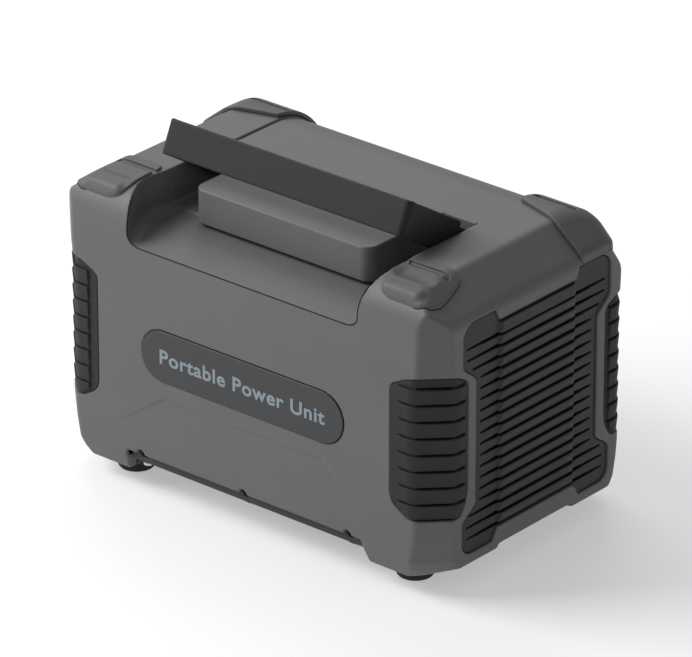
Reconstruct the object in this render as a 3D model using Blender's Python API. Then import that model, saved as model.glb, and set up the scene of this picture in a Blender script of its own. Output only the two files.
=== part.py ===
"""Portable power station: moulded case, folding carry handle, vents, ports and the electronics inside.

The origin is on the ground under the middle of the case, +X runs along its length, -Y is the plain face
and +Y is the face with the sockets. Lengths in the tables below are millimetres; MM turns them to metres.
"""
from math import cos, degrees, hypot, pi, radians, sin, sqrt, tau

import bmesh
import bpy
from mathutils import Matrix, Vector

MM = 0.001
GAP = 0.3               # clearance between pieces that touch
CHAMFER_GROWTH = 2 - sqrt(2)    # how much a 45 degree chamfer lengthens as all its faces move out by 1

# Case
HALF_LENGTH = 150.0
HALF_WIDTH = 94.0
TOP = 198.0
BASE = 12.0             # underside of the four corner blocks, carried by the feet
BELLY = 20.5            # underside between the corner blocks
WALL = 3.0
CORNER = 15.0           # vertical corner chamfer above and below the grip pads
PAD_CORNER = 19.0       # deeper chamfer that the grip pads lie on
FRONT_RADIUS = 24.0     # round-over of the top edge on the plain side
PORT_RADIUS = 46.0      # larger round-over on the socket side
SLOPE_RUN = 24.0        # the sloping shoulders at both ends of the top
SLOPE_DROP = 19.0

CORNER_CUT = (0.49, 0.72, 0.49)     # direction of the facet on the two top corners of the socket side
CORNER_CUT_AT = 210.2               # its distance from the origin

# Underside: the case is cut away between its corner blocks, and the base tray closes it
FRONT_UNDERCUT = (97.0, 93.0, 27.5)     # half length at the ground and at its top, and the height of its top
END_UNDERCUT = (40.0, 35.0, BELLY)      # the same across the ends
TRAY_HALF = (127.0, 82.0)
TRAY_BEVEL = 8.0
TRAY_PLATE = 4.0
BLOCK_INNER = (97.0, 42.0)              # inner corner of the tray's foot blocks
SKIRT_Y = (81.0, 90.0)
END_TAB = (146.0, 34.5)
RIB_START = (92.5, 35.2)                # inner walls of the corner blocks
RIB_SEAT = (127.8, 82.6)
SCREW_X = (-82.0, 0.0, 82.0)
SCREW_Y = 86.5
SCREW_HEAD = (3.2, 2.0)                 # radius and height
SCREW_RADIUS = 1.6

# Handle recess in the top
RECESS_FLOOR = 174.0
RECESS_REAR = 10.4
TROUGH_HALF = 98.0
TROUGH_LIP = 166.0
CHANNEL_HALF = 95.3
ISLAND_HALF = 69.0
ISLAND_FRONT = -58.0
COVER_HALF = 93.8
COVER_SINK = 1.0
COVER_REAR_Z = 152.0
ISLAND_RADIUS = 8.0

# Handle
PIVOT = (2.0, 187.5)    # y and z of its axis
BAR_LOW = (-57.8, 212.0)    # y and z of the bar's lower and upper edge
BAR_HIGH = (-48.6, 232.0)
STRAP = 4.0
HANDLE_HALF = 94.6
HUB_RADIUS = 7.5
ARM_NECK = ((14.5, 10.9), (11.5, 7.5))      # corners of an arm above and below its hub, measured along
ARM_HEEL = ((-1.5, -9.2), (1.5, -10.9))     # and across the arm from the pivot
PIN_RADIUS = 3.0

# End vents
VENT_SLATS = 18
VENT_TOP_GAP = 158.7
VENT_PITCH = 7.3
VENT_SLOT = 2.2
VENT_RAISED_HALF = 36.0
VENT_HALF = 68.7
VENT_WAIST = 56.5
VENT_WAIST_Z = (46.0, 58.0, 136.0, 150.0)
VENT_BORDER = 4.5
VENT_LOW = 25.0
VENT_HIGH = 175.0
VENT_NOTCH_LOW = 33.0
VENT_NOTCH_HIGH = 168.0
VENT_SINK = 1.2         # how deep the vent's face lies in the end
VENT_RISE = 0.8         # how far its raised middle stands out

# Grip pads on the corners
PAD_TOP = 145.5
PAD_BOTTOM = 53.0
PAD_ROUND = 6.0         # radius of the two upper corners
PAD_ROUND_ROWS = (0.0, 2.5, 5.0)
PAD_SLANT = 8.5         # height and run of the slanted lower corners
PAD_START_INSET = 14.0
PAD_SEAT = -1.4         # offsets from the case's chamfered corner, outwards
PAD_BORDER = -0.3
PAD_TREAD = 1.3
PAD_TREAD_LOW = 0.3
PAD_START_X = 115.0
PAD_END_Y = 64.5
PAD_GROOVES = 8
PAD_PITCH = 10.8
PAD_FIRST_GROOVE = 139.0

# Bumpers, feet and label
BUMPER_RISE = 3.0
FOOT_X = 111.0
FOOT_Y = 65.0
FOOT_RADIUS = 10.7
LABEL_Z = 99.4
LABEL_HALF_HEIGHT = 16.8
LABEL_HALF_LENGTH = 79.3
LABEL_THICKNESS = 0.6

# Socket panel, with places as x and z
PANEL_HALF = 117.0
PANEL_LOW = 40.0
PANEL_HIGH = 149.0
PANEL_FACE = 92.0
BUTTON_RADIUS = 6.0
BUTTON_Z = 128.0
BUTTONS = {"main_power_button": -96.0, "dc_output_button": -62.0, "ac_output_button": 62.0,
           "lamp_button": 96.0}
AC_X = (34.0, 86.0)
AC_Z = 84.0
AC_HALF = 22.0
JACK_RADIUS = 6.5
DC_X = -58.0
DC_Z = (98.0, 78.0)
INPUT_PLACE = (-58.0, 58.0)
CAR_PLACE = (-92.0, 88.0)
CAR_RADIUS = 13.5
CAR_BORE = 10.6
CAR_DEPTH = 38.0
CAP_RADIUS = 15.0
CAP_THICKNESS = 2.4
CAP_HINGE_RISE = 18.5
HINGE_PIN = 0.8
USB_PLACE = (-18.0, 84.0)
USB_HALF = (15.0, 20.0)
DISPLAY_HALF = (34.0, 13.0)
LAMP_PLACE = (36.0, 50.0)
LAMP_HALF = (66.0, 4.5)
LAMP_LEDS = 8

# Cells, fans and boards
CELL_RADIUS = 16.0
CELL_PITCH = 33.0
CELLS_PER_ROW = 7
CELL_LOW = 31.0
CELL_HEIGHT = 70.0
CELL_ROWS = (-61.8, -28.3)      # y of each row
BOARD = 1.6                     # thickness of a circuit board
POWER_BOARD_Z = 28.0
FIN_PITCH = 6.3
FAN_HALF = 40.0
FAN_Z = 100.0
FAN_INNER = 121.0
FAN_DEPTH = 20.0
FAN_BORE = 37.5
FAN_BLADES = 7
HUB = (16.0, 1.9)               # outer and bore radius of the rotor's hub

COLOURS = {
    "case": ((0.16, 0.16, 0.165), 0.55, 0.0),
    "dark": ((0.035, 0.035, 0.037), 0.5, 0.0),
    "rubber": ((0.03, 0.03, 0.031), 0.75, 0.0),
    "label": ((0.07, 0.072, 0.075), 0.45, 0.0),
    "steel": ((0.5, 0.5, 0.5), 0.35, 1.0),
    "aluminium": ((0.62, 0.63, 0.64), 0.4, 1.0),
    "board": ((0.02, 0.12, 0.06), 0.5, 0.0),
    "cell": ((0.08, 0.2, 0.42), 0.4, 0.0),
    "glass": ((0.01, 0.012, 0.015), 0.1, 0.0),
    "lens": ((0.85, 0.85, 0.82), 0.2, 0.0),
    "socket": ((0.02, 0.02, 0.02), 0.4, 0.0),
    "button": ((0.22, 0.22, 0.23), 0.4, 0.0),
}


def clear_scene():
    for item in list(bpy.data.objects):
        bpy.data.objects.remove(item, do_unlink=True)


def material(name):
    found = bpy.data.materials.get(name)
    if found:
        return found
    colour, roughness, metallic = COLOURS[name]
    made = bpy.data.materials.new(name)
    made.use_nodes = True
    shader = made.node_tree.nodes["Principled BSDF"]
    shader.inputs["Base Color"].default_value = (*colour, 1.0)
    shader.inputs["Roughness"].default_value = roughness
    shader.inputs["Metallic"].default_value = metallic
    return made


def from_bmesh(name, mesh, finish):
    """An object of one closed mesh, given in millimetres."""
    bmesh.ops.recalc_face_normals(mesh, faces=mesh.faces)
    bmesh.ops.scale(mesh, vec=(MM, MM, MM), verts=mesh.verts)
    data = bpy.data.meshes.new(name)
    mesh.to_mesh(data)
    mesh.free()
    data.materials.append(material(finish))
    made = bpy.data.objects.new(name, data)
    bpy.context.scene.collection.objects.link(made)
    return made


def combine(target, tool, operation):
    """Apply one exact Boolean and delete the tool."""
    step = target.modifiers.new("step", "BOOLEAN")
    step.operation = operation
    step.object = tool
    step.solver = "EXACT"
    graph = bpy.context.evaluated_depsgraph_get()
    result = bpy.data.meshes.new_from_object(target.evaluated_get(graph))
    target.modifiers.clear()
    target.data = result
    bpy.data.objects.remove(tool, do_unlink=True)
    return target


def cut(target, tool):
    return combine(target, tool, "DIFFERENCE")


def join(target, tool):
    return combine(target, tool, "UNION")


def keep_inside(target, tool):
    return combine(target, tool, "INTERSECT")


def smooth(target, angle=35.0):
    target.data.shade_smooth()
    target.data.set_sharp_from_angle(angle=radians(angle))
    return target


def rounded(corners, step=22.5):
    """A closed outline from (a, b, radius) corners, each rounded by an arc."""
    outline = []
    count = len(corners)
    for index, (a, b, radius) in enumerate(corners):
        here = Vector((a, b))
        if radius <= 0:
            outline.append((a, b))
            continue
        before = (Vector(corners[index - 1][:2]) - here).normalized()
        after = (Vector(corners[(index + 1) % count][:2]) - here).normalized()
        opening = before.angle(after)
        reach = radius / sin(opening / 2)
        centre = here + (before + after).normalized() * reach
        first = here + before * (reach * cos(opening / 2)) - centre
        turn = pi - opening
        if before.x * after.y - before.y * after.x > 0:
            turn = -turn
        steps = max(1, round(abs(degrees(turn)) / step))
        for k in range(steps + 1):
            angle = turn * k / steps
            spin = Vector((first.x * cos(angle) - first.y * sin(angle),
                           first.x * sin(angle) + first.y * cos(angle)))
            outline.append(tuple(centre + spin))
    return outline


def rectangle(a, b, half_a, half_b, radius=0.0):
    return rounded([(a - half_a, b - half_b, radius), (a + half_a, b - half_b, radius),
                    (a + half_a, b + half_b, radius), (a - half_a, b + half_b, radius)])


def circle(a, b, radius, sides=24):
    return [(a + radius * cos(tau * k / sides), b + radius * sin(tau * k / sides)) for k in range(sides)]


def place(axis, a, b, along):
    """A point of an outline drawn across an axis: (y, z) across X, (x, z) across Y, (x, y) across Z."""
    return {"X": (along, a, b), "Y": (a, along, b), "Z": (a, b, along)}[axis]


def prism(name, outline, axis, low, high, finish="case"):
    mesh = bmesh.new()
    ends = [[mesh.verts.new(place(axis, a, b, along)) for a, b in outline] for along in (low, high)]
    mesh.faces.new(ends[0])
    mesh.faces.new(ends[1])
    count = len(outline)
    for k in range(count):
        after = (k + 1) % count
        mesh.faces.new((ends[0][k], ends[0][after], ends[1][after], ends[1][k]))
    return from_bmesh(name, mesh, finish)


def span(side, near, far):
    """Two distances from the middle, as an ordered range on one side of it."""
    return sorted((side * near, side * far))


def box(name, low, high, finish="case"):
    outline = [(low[0], low[1]), (high[0], low[1]), (high[0], high[1]), (low[0], high[1])]
    return prism(name, outline, "Z", low[2], high[2], finish)


def loft(name, rings, finish="case"):
    """A closed solid through rings of equally many 3-D points."""
    mesh = bmesh.new()
    made = [[mesh.verts.new(point) for point in ring] for ring in rings]
    mesh.faces.new(made[0])
    mesh.faces.new(made[-1])
    for lower, upper in zip(made, made[1:]):
        for k in range(len(lower)):
            after = (k + 1) % len(lower)
            mesh.faces.new((lower[k], lower[after], upper[after], upper[k]))
    return from_bmesh(name, mesh, finish)


def lathe(name, profile, axis, centre, sides=24, finish="case"):
    """A turned solid. The profile is a closed chain of (radius, place along the axis); a radius of 0
    makes a pole. The centre is the axis's place in the plane across it."""
    mesh = bmesh.new()
    rings = []
    for radius, along in profile:
        if radius == 0:
            rings.append([mesh.verts.new(place(axis, centre[0], centre[1], along))])
        else:
            rings.append([mesh.verts.new(place(axis, a, b, along))
                          for a, b in circle(centre[0], centre[1], radius, sides)])
    for k, ring in enumerate(rings):
        other = rings[(k + 1) % len(rings)]
        if len(ring) == 1 and len(other) == 1:
            continue
        for j in range(sides):
            after = (j + 1) % sides
            corners = [ring[j % len(ring)], ring[after % len(ring)],
                       other[after % len(other)], other[j % len(other)]]
            mesh.faces.new(list(dict.fromkeys(corners)))
    return smooth(from_bmesh(name, mesh, finish))


# The case --------------------------------------------------------------------------------------------

def plan_ring(z, half_length, half_width, chamfer):
    corners = []
    for sx, sy, along_first in ((-1, -1, False), (1, -1, True), (1, 1, False), (-1, 1, True)):
        on_side = (sx * (half_length - chamfer), sy * half_width, z)
        on_end = (sx * half_length, sy * (half_width - chamfer), z)
        corners += [on_side, on_end] if along_first else [on_end, on_side]
    return corners


def case_solid(name, grow=0.0, floor=BASE, finish="case"):
    """The outer form of the case, grown outwards by `grow` millimetres (or inwards if negative)."""
    slack = grow * CHAMFER_GROWTH
    length = HALF_LENGTH + grow
    width = HALF_WIDTH + grow
    rings = [plan_ring(floor - grow, length - 19, width - 5, CORNER - 9 + slack),
             plan_ring(18.0, length - 0.5, width - 3, CORNER + 5.5 + slack),
             plan_ring(24.0, length, width, CORNER + 6 + slack),
             plan_ring(37.0, length, width, CORNER + 4 + slack),
             plan_ring(47.0, length, width, CORNER + 3 + slack),
             plan_ring(148.0, length, width, CORNER + 2 + slack),
             plan_ring(165.0, length, width, CORNER + slack),
             plan_ring(TOP + 20, length, width, CORNER + slack)]
    solid = loft(name, rings, finish)
    top = TOP + grow
    across = rounded([(-width, 0, 0), (width, 0, 0), (width, top, PORT_RADIUS + grow),
                      (-width, top, FRONT_RADIUS + grow)], step=15.0)
    keep_inside(solid, prism("across", across, "X", -400, 400))
    slope = hypot(SLOPE_RUN, SLOPE_DROP)
    sine, cosine = SLOPE_DROP / slope, SLOPE_RUN / slope
    shoulder = HALF_LENGTH - SLOPE_RUN + grow * (1 - cosine) / sine
    brow = TOP - SLOPE_DROP + grow * (1 - sine) / cosine
    along = [(-length, 0), (length, 0), (length, brow), (shoulder, top), (-shoulder, top), (-length, brow)]
    keep_inside(solid, prism("along", along, "Y", -400, 400))
    for side in (-1, 1):
        slice_off(solid, (side * CORNER_CUT[0], CORNER_CUT[1], CORNER_CUT[2]), CORNER_CUT_AT + grow)
    return solid


def slice_off(solid, normal, distance):
    """Cut away all that lies beyond a plane, and close the solid along it."""
    mesh = bmesh.new()
    mesh.from_mesh(solid.data)
    geometry = mesh.verts[:] + mesh.edges[:] + mesh.faces[:]
    direction = Vector(normal).normalized()
    sliced = bmesh.ops.bisect_plane(mesh, geom=geometry, plane_co=direction * distance * MM,
                                    plane_no=direction, clear_outer=True)
    edges = [item for item in sliced["geom_cut"] if isinstance(item, bmesh.types.BMEdge)]
    bmesh.ops.edgeloop_fill(mesh, edges=edges)
    bmesh.ops.recalc_face_normals(mesh, faces=mesh.faces)
    mesh.to_mesh(solid.data)
    mesh.free()


def recess_cutter(grow=0.0):
    """The space of the handle recess: a trough across the front and a flat well behind it."""
    floor = RECESS_FLOOR - grow
    lip = TROUGH_LIP - grow
    side = [(-110, lip - 4.5), (-HALF_WIDTH, lip), (-67, floor), (-47, floor), (-47, 260), (-110, 260)]
    cutter = prism("recess", side, "X", -TROUGH_HALF - grow, TROUGH_HALF + grow)
    well = box("well", (-CHANNEL_HALF - grow, -60, floor), (CHANNEL_HALF + grow, RECESS_REAR + grow, 260))
    return join(cutter, well)


def vent_outline(grow=0.0):
    """The end vent's outline in (y, z): notched at top and bottom, waisted along the sides."""
    wide = VENT_HALF + grow
    waist = VENT_WAIST + grow
    low_z, narrow_low, narrow_high, high_z = VENT_WAIST_Z
    low, high = VENT_LOW - grow, VENT_HIGH + grow
    notch = VENT_RAISED_HALF - grow
    half = [(notch, VENT_NOTCH_HIGH + grow, 2), (notch + 3, high, 3), (wide, high, 9), (wide, high_z, 5),
            (waist, narrow_high, 8), (waist, narrow_low, 8), (wide, low_z, 8), (wide, low, 9),
            (notch + 5, low, 2), (notch, VENT_NOTCH_LOW - grow, 2)]
    left = [(-a, b, radius) for a, b, radius in reversed(half)]
    return rounded(half + left, step=45.0)


def tray_outline(grow=0.0):
    """Plan of the base tray: a plate that fills the underside between the case's corners."""
    half_x, half_y = TRAY_HALF[0] + grow, TRAY_HALF[1] + grow
    bevel = TRAY_BEVEL + grow * CHAMFER_GROWTH
    return [(x, y) for x, y, _ in plan_ring(0.0, half_x, half_y, bevel)]


def undercut(shape):
    """Outline of the space under the case between two corner blocks."""
    low, high, top = shape
    return [(-low, 0), (low, 0), (high, top), (-high, top)]


def block_ribs():
    """The inner walls of the four corner blocks, still to be trimmed by the undercuts."""
    ribs = None
    for sx in (-1, 1):
        for sy in (-1, 1):
            for (x, y), (far_x, far_y) in (((RIB_START[0], RIB_SEAT[1]), (RIB_START[0] + 7.5, HALF_WIDTH)),
                                           ((RIB_SEAT[0], RIB_START[1]), (HALF_LENGTH, RIB_START[1] + 7.5))):
                (left, right), (front, rear) = span(sx, x, far_x), span(sy, y, far_y)
                rib = box("rib", (left, front, BASE), (right, rear, BELLY + 2.5))
                ribs = join(ribs, rib) if ribs else rib
    return keep_inside(ribs, case_solid("inside", -0.5))


def make_housing():
    housing = case_solid("housing")
    cut(housing, cut(case_solid("cavity", -WALL), recess_cutter(WALL)))
    cut(housing, prism("tray_opening", tray_outline(GAP), "Z", 0, BASE + 8))
    join(housing, block_ribs())
    cut(housing, recess_cutter())
    cut(housing, box("cover_opening", (-COVER_HALF - GAP, RECESS_REAR - 2, COVER_REAR_Z - GAP),
                     (COVER_HALF + GAP, 130, 260)))
    cut(housing, box("panel_opening", (-PANEL_HALF - GAP, 60, PANEL_LOW - GAP),
                     (PANEL_HALF + GAP, 130, PANEL_HIGH + GAP)))
    for sx in (-1, 1):
        for sy in (-1, 1):
            cut(housing, pad_pocket(sx, sy))
    for side in (-1, 1):
        cut(housing, prism("vent_opening", vent_outline(GAP), "X", *span(side, 130, 200)))
        cut(housing, prism("undercut", undercut(FRONT_UNDERCUT), "Y", *span(side, 80, 120)))
        cut(housing, prism("end_undercut", undercut(END_UNDERCUT), "X", *span(side, 120, 170)))
        cut(housing, prism("pin_hole", circle(*PIVOT, PIN_RADIUS + GAP, 16), "X", *span(side, 90, 104)))
    return housing


def make_base_tray():
    """The underside: a thin plate with a deep block under each corner, a skirt along both sides and a tab
    under each end."""
    top = BELLY + TRAY_PLATE
    tray = prism("base_tray", tray_outline(), "Z", BASE, top, "dark")
    cut(tray, box("belly", (-BLOCK_INNER[0], -120, 0), (BLOCK_INNER[0], 120, BELLY)))
    cut(tray, box("belly_across", (-200, -BLOCK_INNER[1], 0), (200, BLOCK_INNER[1], BELLY)))
    join(tray, box("end_tabs", (-END_TAB[0], -END_TAB[1], BELLY), (END_TAB[0], END_TAB[1], top)))
    low, high, edge_z = FRONT_UNDERCUT[1], FRONT_UNDERCUT[1] - 0.7, FRONT_UNDERCUT[2] - GAP
    skirt = [(-low, BELLY), (low, BELLY), (high, edge_z), (-high, edge_z)]
    for side in (-1, 1):
        join(tray, prism("skirt", skirt, "Y", *span(side, *SKIRT_Y)))
        for x in SCREW_X:
            cut(tray, prism("screw_hole", circle(x, side * SCREW_Y, SCREW_RADIUS + 0.4, 12), "Z", 0, 30))
    return tray


def make_screws():
    number = 0
    for side in (-1, 1):
        for x in SCREW_X:
            number += 1
            seat = BELLY - GAP
            tip = FRONT_UNDERCUT[2] - 1
            head, height = SCREW_HEAD
            profile = [(0, seat - height), (head, seat - height), (head, seat), (SCREW_RADIUS, seat),
                       (SCREW_RADIUS, tip), (0, tip)]
            lathe(f"base_screw_{number}", profile, "Z", (x, side * SCREW_Y), 12, "steel")


def make_top_cover():
    """The centre panel of the top, one moulding with the block between the handle's arms."""
    cover = cut(case_solid("top_cover", -COVER_SINK), case_solid("under", -COVER_SINK - WALL, BASE - 12))
    low = RECESS_REAR
    keep_inside(cover, box("cover_region", (-COVER_HALF, low, COVER_REAR_Z), (COVER_HALF, 130, 260)))
    top = TOP - COVER_SINK
    plan = rounded([(-ISLAND_HALF, low + WALL, 0), (-ISLAND_HALF, ISLAND_FRONT, ISLAND_RADIUS),
                    (ISLAND_HALF, ISLAND_FRONT, ISLAND_RADIUS), (ISLAND_HALF, low + WALL, 0)])
    base = RECESS_FLOOR + GAP
    block = prism("island", plan, "Z", base, top)
    rear_wall = box("rear_wall", (-COVER_HALF, low, base), (COVER_HALF, low + WALL, top - 1))
    join(block, rear_wall)
    side, front, corner = ISLAND_HALF - WALL, ISLAND_FRONT + WALL, ISLAND_RADIUS - WALL
    inner = rounded([(-side, low + 8, 0), (-side, front, corner), (side, front, corner), (side, low + 8, 0)])
    cut(block, prism("hollow", inner, "Z", base - 5, top - WALL))
    return join(cover, block)


def slot_half(z):
    """Half the length of the louvre gap at height z, a border inside the vent's outline."""
    low, narrow_low, narrow_high, high = VENT_WAIST_Z
    if z < narrow_low:
        share = min(1.0, (narrow_low - z) / (narrow_low - low))
    else:
        share = min(1.0, max(0.0, (z - narrow_high) / (high - narrow_high)))
    return VENT_WAIST + (VENT_HALF - VENT_WAIST) * share - VENT_BORDER


def make_vent(side):
    name = "right_vent_panel" if side > 0 else "left_vent_panel"
    face = HALF_LENGTH - VENT_SINK
    inner = HALF_LENGTH - WALL - 1.5
    panel = prism(name, vent_outline(), "X", *span(side, inner, face), "dark")
    middle = rectangle(0, (VENT_NOTCH_LOW + VENT_NOTCH_HIGH) / 2, VENT_RAISED_HALF,
                       (VENT_NOTCH_HIGH - VENT_NOTCH_LOW) / 2 - 1)
    join(panel, prism("raised", middle, "X", *span(side, inner + 1, HALF_LENGTH + VENT_RISE)))
    for k in range(VENT_SLATS):
        z = VENT_TOP_GAP - VENT_PITCH * k
        slot = rectangle(0, z, slot_half(z), VENT_SLOT / 2)
        cut(panel, prism("slot", slot, "X", *span(side, 130, 160)))
    return panel


def pad_path(offset, inset):
    """Plan outline of one corner, from the long side to the end, pushed out by `offset` and shortened by
    `inset` at both ends."""
    edge = PAD_CORNER - offset * (1 - CHAMFER_GROWTH)
    side = HALF_WIDTH + offset
    end = HALF_LENGTH + offset
    return [(PAD_START_X + inset, side), (HALF_LENGTH - edge, side), (end, HALF_WIDTH - edge),
            (end, min(PAD_END_Y + inset / 2, HALF_WIDTH - edge - 1))]


def corner_band(name, sx, sy, levels, finish="rubber"):
    """A solid wrapped round one corner, from (z, inset, inner offset, outer offset) levels."""
    rings = []
    for z, inset, inner, outer in levels:
        ring = pad_path(outer, inset) + pad_path(inner, inset)[::-1]
        rings.append([(sx * x, sy * y, z) for x, y in ring])
    return loft(name, rings, finish)


def pad_inset(z):
    """How far the pad's ends draw in near its rounded top and slanted bottom."""
    if z > PAD_TOP - PAD_ROUND:
        rise = (z - PAD_TOP + PAD_ROUND) / PAD_ROUND
        return PAD_ROUND * (1 - sqrt(max(0.0, 1 - rise * rise)))
    fall = max(0.0, (PAD_BOTTOM + PAD_SLANT - z) / PAD_SLANT)
    return PAD_START_INSET * fall


def make_pad(sx, sy):
    """A rubber pad let into one corner, with a tread of blocks that lean in towards their lower edge."""
    name = f"{'right' if sx > 0 else 'left'}_{'rear' if sy > 0 else 'front'}_grip_pad"
    heights = [(PAD_TOP - drop, PAD_BORDER) for drop in PAD_ROUND_ROWS]
    for k in range(PAD_GROOVES):
        z = PAD_FIRST_GROOVE - PAD_PITCH * k
        heights += [(z, PAD_BORDER), (z - 0.8, PAD_TREAD), (z - PAD_PITCH + 1.6, PAD_TREAD_LOW)]
    heights += [(PAD_BOTTOM + PAD_SLANT / 2, PAD_BORDER), (PAD_BOTTOM, PAD_BORDER)]
    levels = [(z, pad_inset(z), PAD_SEAT + GAP, outer) for z, outer in heights]
    return corner_band(name, sx, sy, levels)


def pad_pocket(sx, sy):
    """The shallow pocket in the case that holds one pad."""
    rows = [PAD_TOP - drop for drop in PAD_ROUND_ROWS] + [PAD_BOTTOM + PAD_SLANT, PAD_BOTTOM]
    levels = [(z, pad_inset(z) - 2 * GAP, PAD_SEAT, 20.0) for z in rows]
    levels[0] = (PAD_TOP + GAP, *levels[0][1:])
    levels[-1] = (PAD_BOTTOM - GAP, *levels[-1][1:])
    return corner_band("pocket", sx, sy, levels)


def bumper_outline(sx, sy):
    """Plan outline of a top corner bumper."""
    if sy < 0:
        corners = [(98.5, -52, 2), (131, -52, 4), (140, -78, 6), (131, -93, 5), (106, -94, 6), (98.5, -87, 5)]
    else:
        corners = [(94.6, 42, 3), (HALF_LENGTH, 38, 0), (HALF_LENGTH, 70, 0), (131, 96, 0), (94.6, 96, 3)]
    if sx < 0:
        corners = [(-a, b, radius) for a, b, radius in reversed(corners)]
    return rounded(corners, step=45.0)


def make_bumper(sx, sy):
    name = f"{'right' if sx > 0 else 'left'}_{'rear' if sy > 0 else 'front'}_bumper"
    bumper = cut(case_solid(name, BUMPER_RISE), case_solid("case_below", GAP, BASE - 8))
    low = 186.0 if sy < 0 else 166.0
    keep_inside(bumper, prism("bumper_region", bumper_outline(sx, sy), "Z", low, 260))
    groove = rectangle(sx * (117 if sy < 0 else 114), sy * 62, 17, 2.8, 2.7)
    cut(bumper, prism("groove", groove, "Z", TOP + 1.4, 260))
    return bumper


def make_foot(sx, sy):
    name = f"{'right' if sx > 0 else 'left'}_{'rear' if sy > 0 else 'front'}_foot"
    top = BASE - GAP
    profile = [(0, 0), (FOOT_RADIUS - 2, 0), (FOOT_RADIUS, 2), (FOOT_RADIUS, top), (0, top)]
    return lathe(name, profile, "Z", (sx * FOOT_X, sy * FOOT_Y), 24, "rubber")


def make_label():
    outline = rectangle(0, LABEL_Z, LABEL_HALF_LENGTH, LABEL_HALF_HEIGHT, LABEL_HALF_HEIGHT - 0.01)
    seat = -HALF_WIDTH - GAP
    return prism("label_plate", outline, "Y", seat - LABEL_THICKNESS, seat, "label")


# The handle ------------------------------------------------------------------------------------------

def arm_outline():
    """One arm in (y, z): the full width of the strap down to a smaller hub round the pivot."""
    low = Vector(BAR_LOW)
    high = Vector(BAR_HIGH)
    hub = Vector(PIVOT)
    along = ((low + high) / 2 - hub).normalized()
    up = Vector((along.y, -along.x))
    steps = 8
    arc = []
    for k in range(steps + 1):
        angle = radians(90.0 + 160.0 * k / steps)
        arc.append((HUB_RADIUS * cos(angle), HUB_RADIUS * sin(angle)))
    edge = [tuple(hub + along * a + up * b) for a, b in (*ARM_NECK, *arc, *ARM_HEEL)]
    return [tuple(high)] + edge + [tuple(low)]


def make_handle():
    """A flat strap bent to a U, turning on two pins. Its origin is on the pivot axis."""
    low = Vector(BAR_LOW)
    high = Vector(BAR_HIGH)
    along = (high - low).normalized()
    out = Vector((-along.y, along.x))
    centre = (low + high) / 2
    half = (high - low).length / 2
    strip = []
    for a, b in rectangle(0, 0, half, STRAP / 2, 1.5):
        strip.append(tuple(centre + along * a + out * b))
    handle = prism("handle", strip, "X", -HANDLE_HALF, HANDLE_HALF, "dark")
    for side in (-1, 1):
        join(handle, prism("arm", arm_outline(), "X", *span(side, HANDLE_HALF - STRAP, HANDLE_HALF)))
        cut(handle, prism("pin_bore", circle(*PIVOT, PIN_RADIUS + 0.1, 24), "X", *span(side, 80, 120)))
    pivot = Matrix.Translation(Vector((0.0, PIVOT[0], PIVOT[1])) * MM)
    handle.data.transform(pivot.inverted())
    handle.matrix_world = pivot
    return handle


def make_pins():
    for side, name in ((-1, "left_handle_pin"), (1, "right_handle_pin")):
        head = HANDLE_HALF - STRAP - 0.5
        profile = [(0, side * (head - 2.5)), (5.0, side * (head - 2.5)), (5.0, side * head),
                   (PIN_RADIUS, side * head), (PIN_RADIUS, side * 103.5), (0, side * 103.5)]
        lathe(name, profile, "X", PIVOT, 24, "steel")


# The socket side -------------------------------------------------------------------------------------

def make_panel():
    outline = rectangle(0, (PANEL_LOW + PANEL_HIGH) / 2, PANEL_HALF, (PANEL_HIGH - PANEL_LOW) / 2)
    panel = prism("socket_panel", outline, "Y", PANEL_FACE - WALL, PANEL_FACE, "dark")
    holes = [circle(x, BUTTON_Z, BUTTON_RADIUS + GAP) for x in BUTTONS.values()]
    holes += [rectangle(x, AC_Z, AC_HALF + GAP, AC_HALF + GAP, 4) for x in AC_X]
    holes += [circle(x, z, JACK_RADIUS + GAP) for x, z in ((DC_X, DC_Z[0]), (DC_X, DC_Z[1]), INPUT_PLACE)]
    holes.append(circle(*CAR_PLACE, CAR_RADIUS + GAP))
    holes.append(rectangle(*USB_PLACE, USB_HALF[0] + GAP, USB_HALF[1] + GAP, 3))
    holes.append(rectangle(0, BUTTON_Z, DISPLAY_HALF[0] + GAP, DISPLAY_HALF[1] + GAP, 3))
    holes.append(rectangle(LAMP_PLACE[0], LAMP_PLACE[1], LAMP_HALF[0] + GAP, LAMP_HALF[1] + GAP, 4))
    for outline in holes:
        cut(panel, prism("hole", outline, "Y", 80, 100))
    return panel


def make_ac_outlet(number, x):
    """A shuttered three-pin outlet: its slots are shallow, closed by the shutters behind them."""
    outline = rectangle(x, AC_Z, AC_HALF, AC_HALF, 4)
    body = prism(f"ac_outlet_{number}", outline, "Y", PANEL_FACE - 26, PANEL_FACE + 1.2, "socket")
    slots = [rectangle(x, AC_Z + 8.5, 2.1, 4.0), rectangle(x - 10.9, AC_Z - 9.0, 3.5, 2.1),
             rectangle(x + 10.9, AC_Z - 9.0, 3.5, 2.1)]
    for outline in slots:
        cut(body, prism("slot", outline, "Y", PANEL_FACE - 1.3, 100))
    return body


def make_jack(name, x, z):
    """A barrel socket with its centre pin."""
    face = PANEL_FACE + 0.8
    rear = face - 14.8
    profile = [(0, rear), (JACK_RADIUS, rear), (JACK_RADIUS, face), (3.2, face), (3.2, face - 9),
               (1.1, face - 9), (1.1, face - 1.5), (0, face - 1.5)]
    return lathe(name, profile, "Y", (x, z), 20, "socket")


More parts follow.
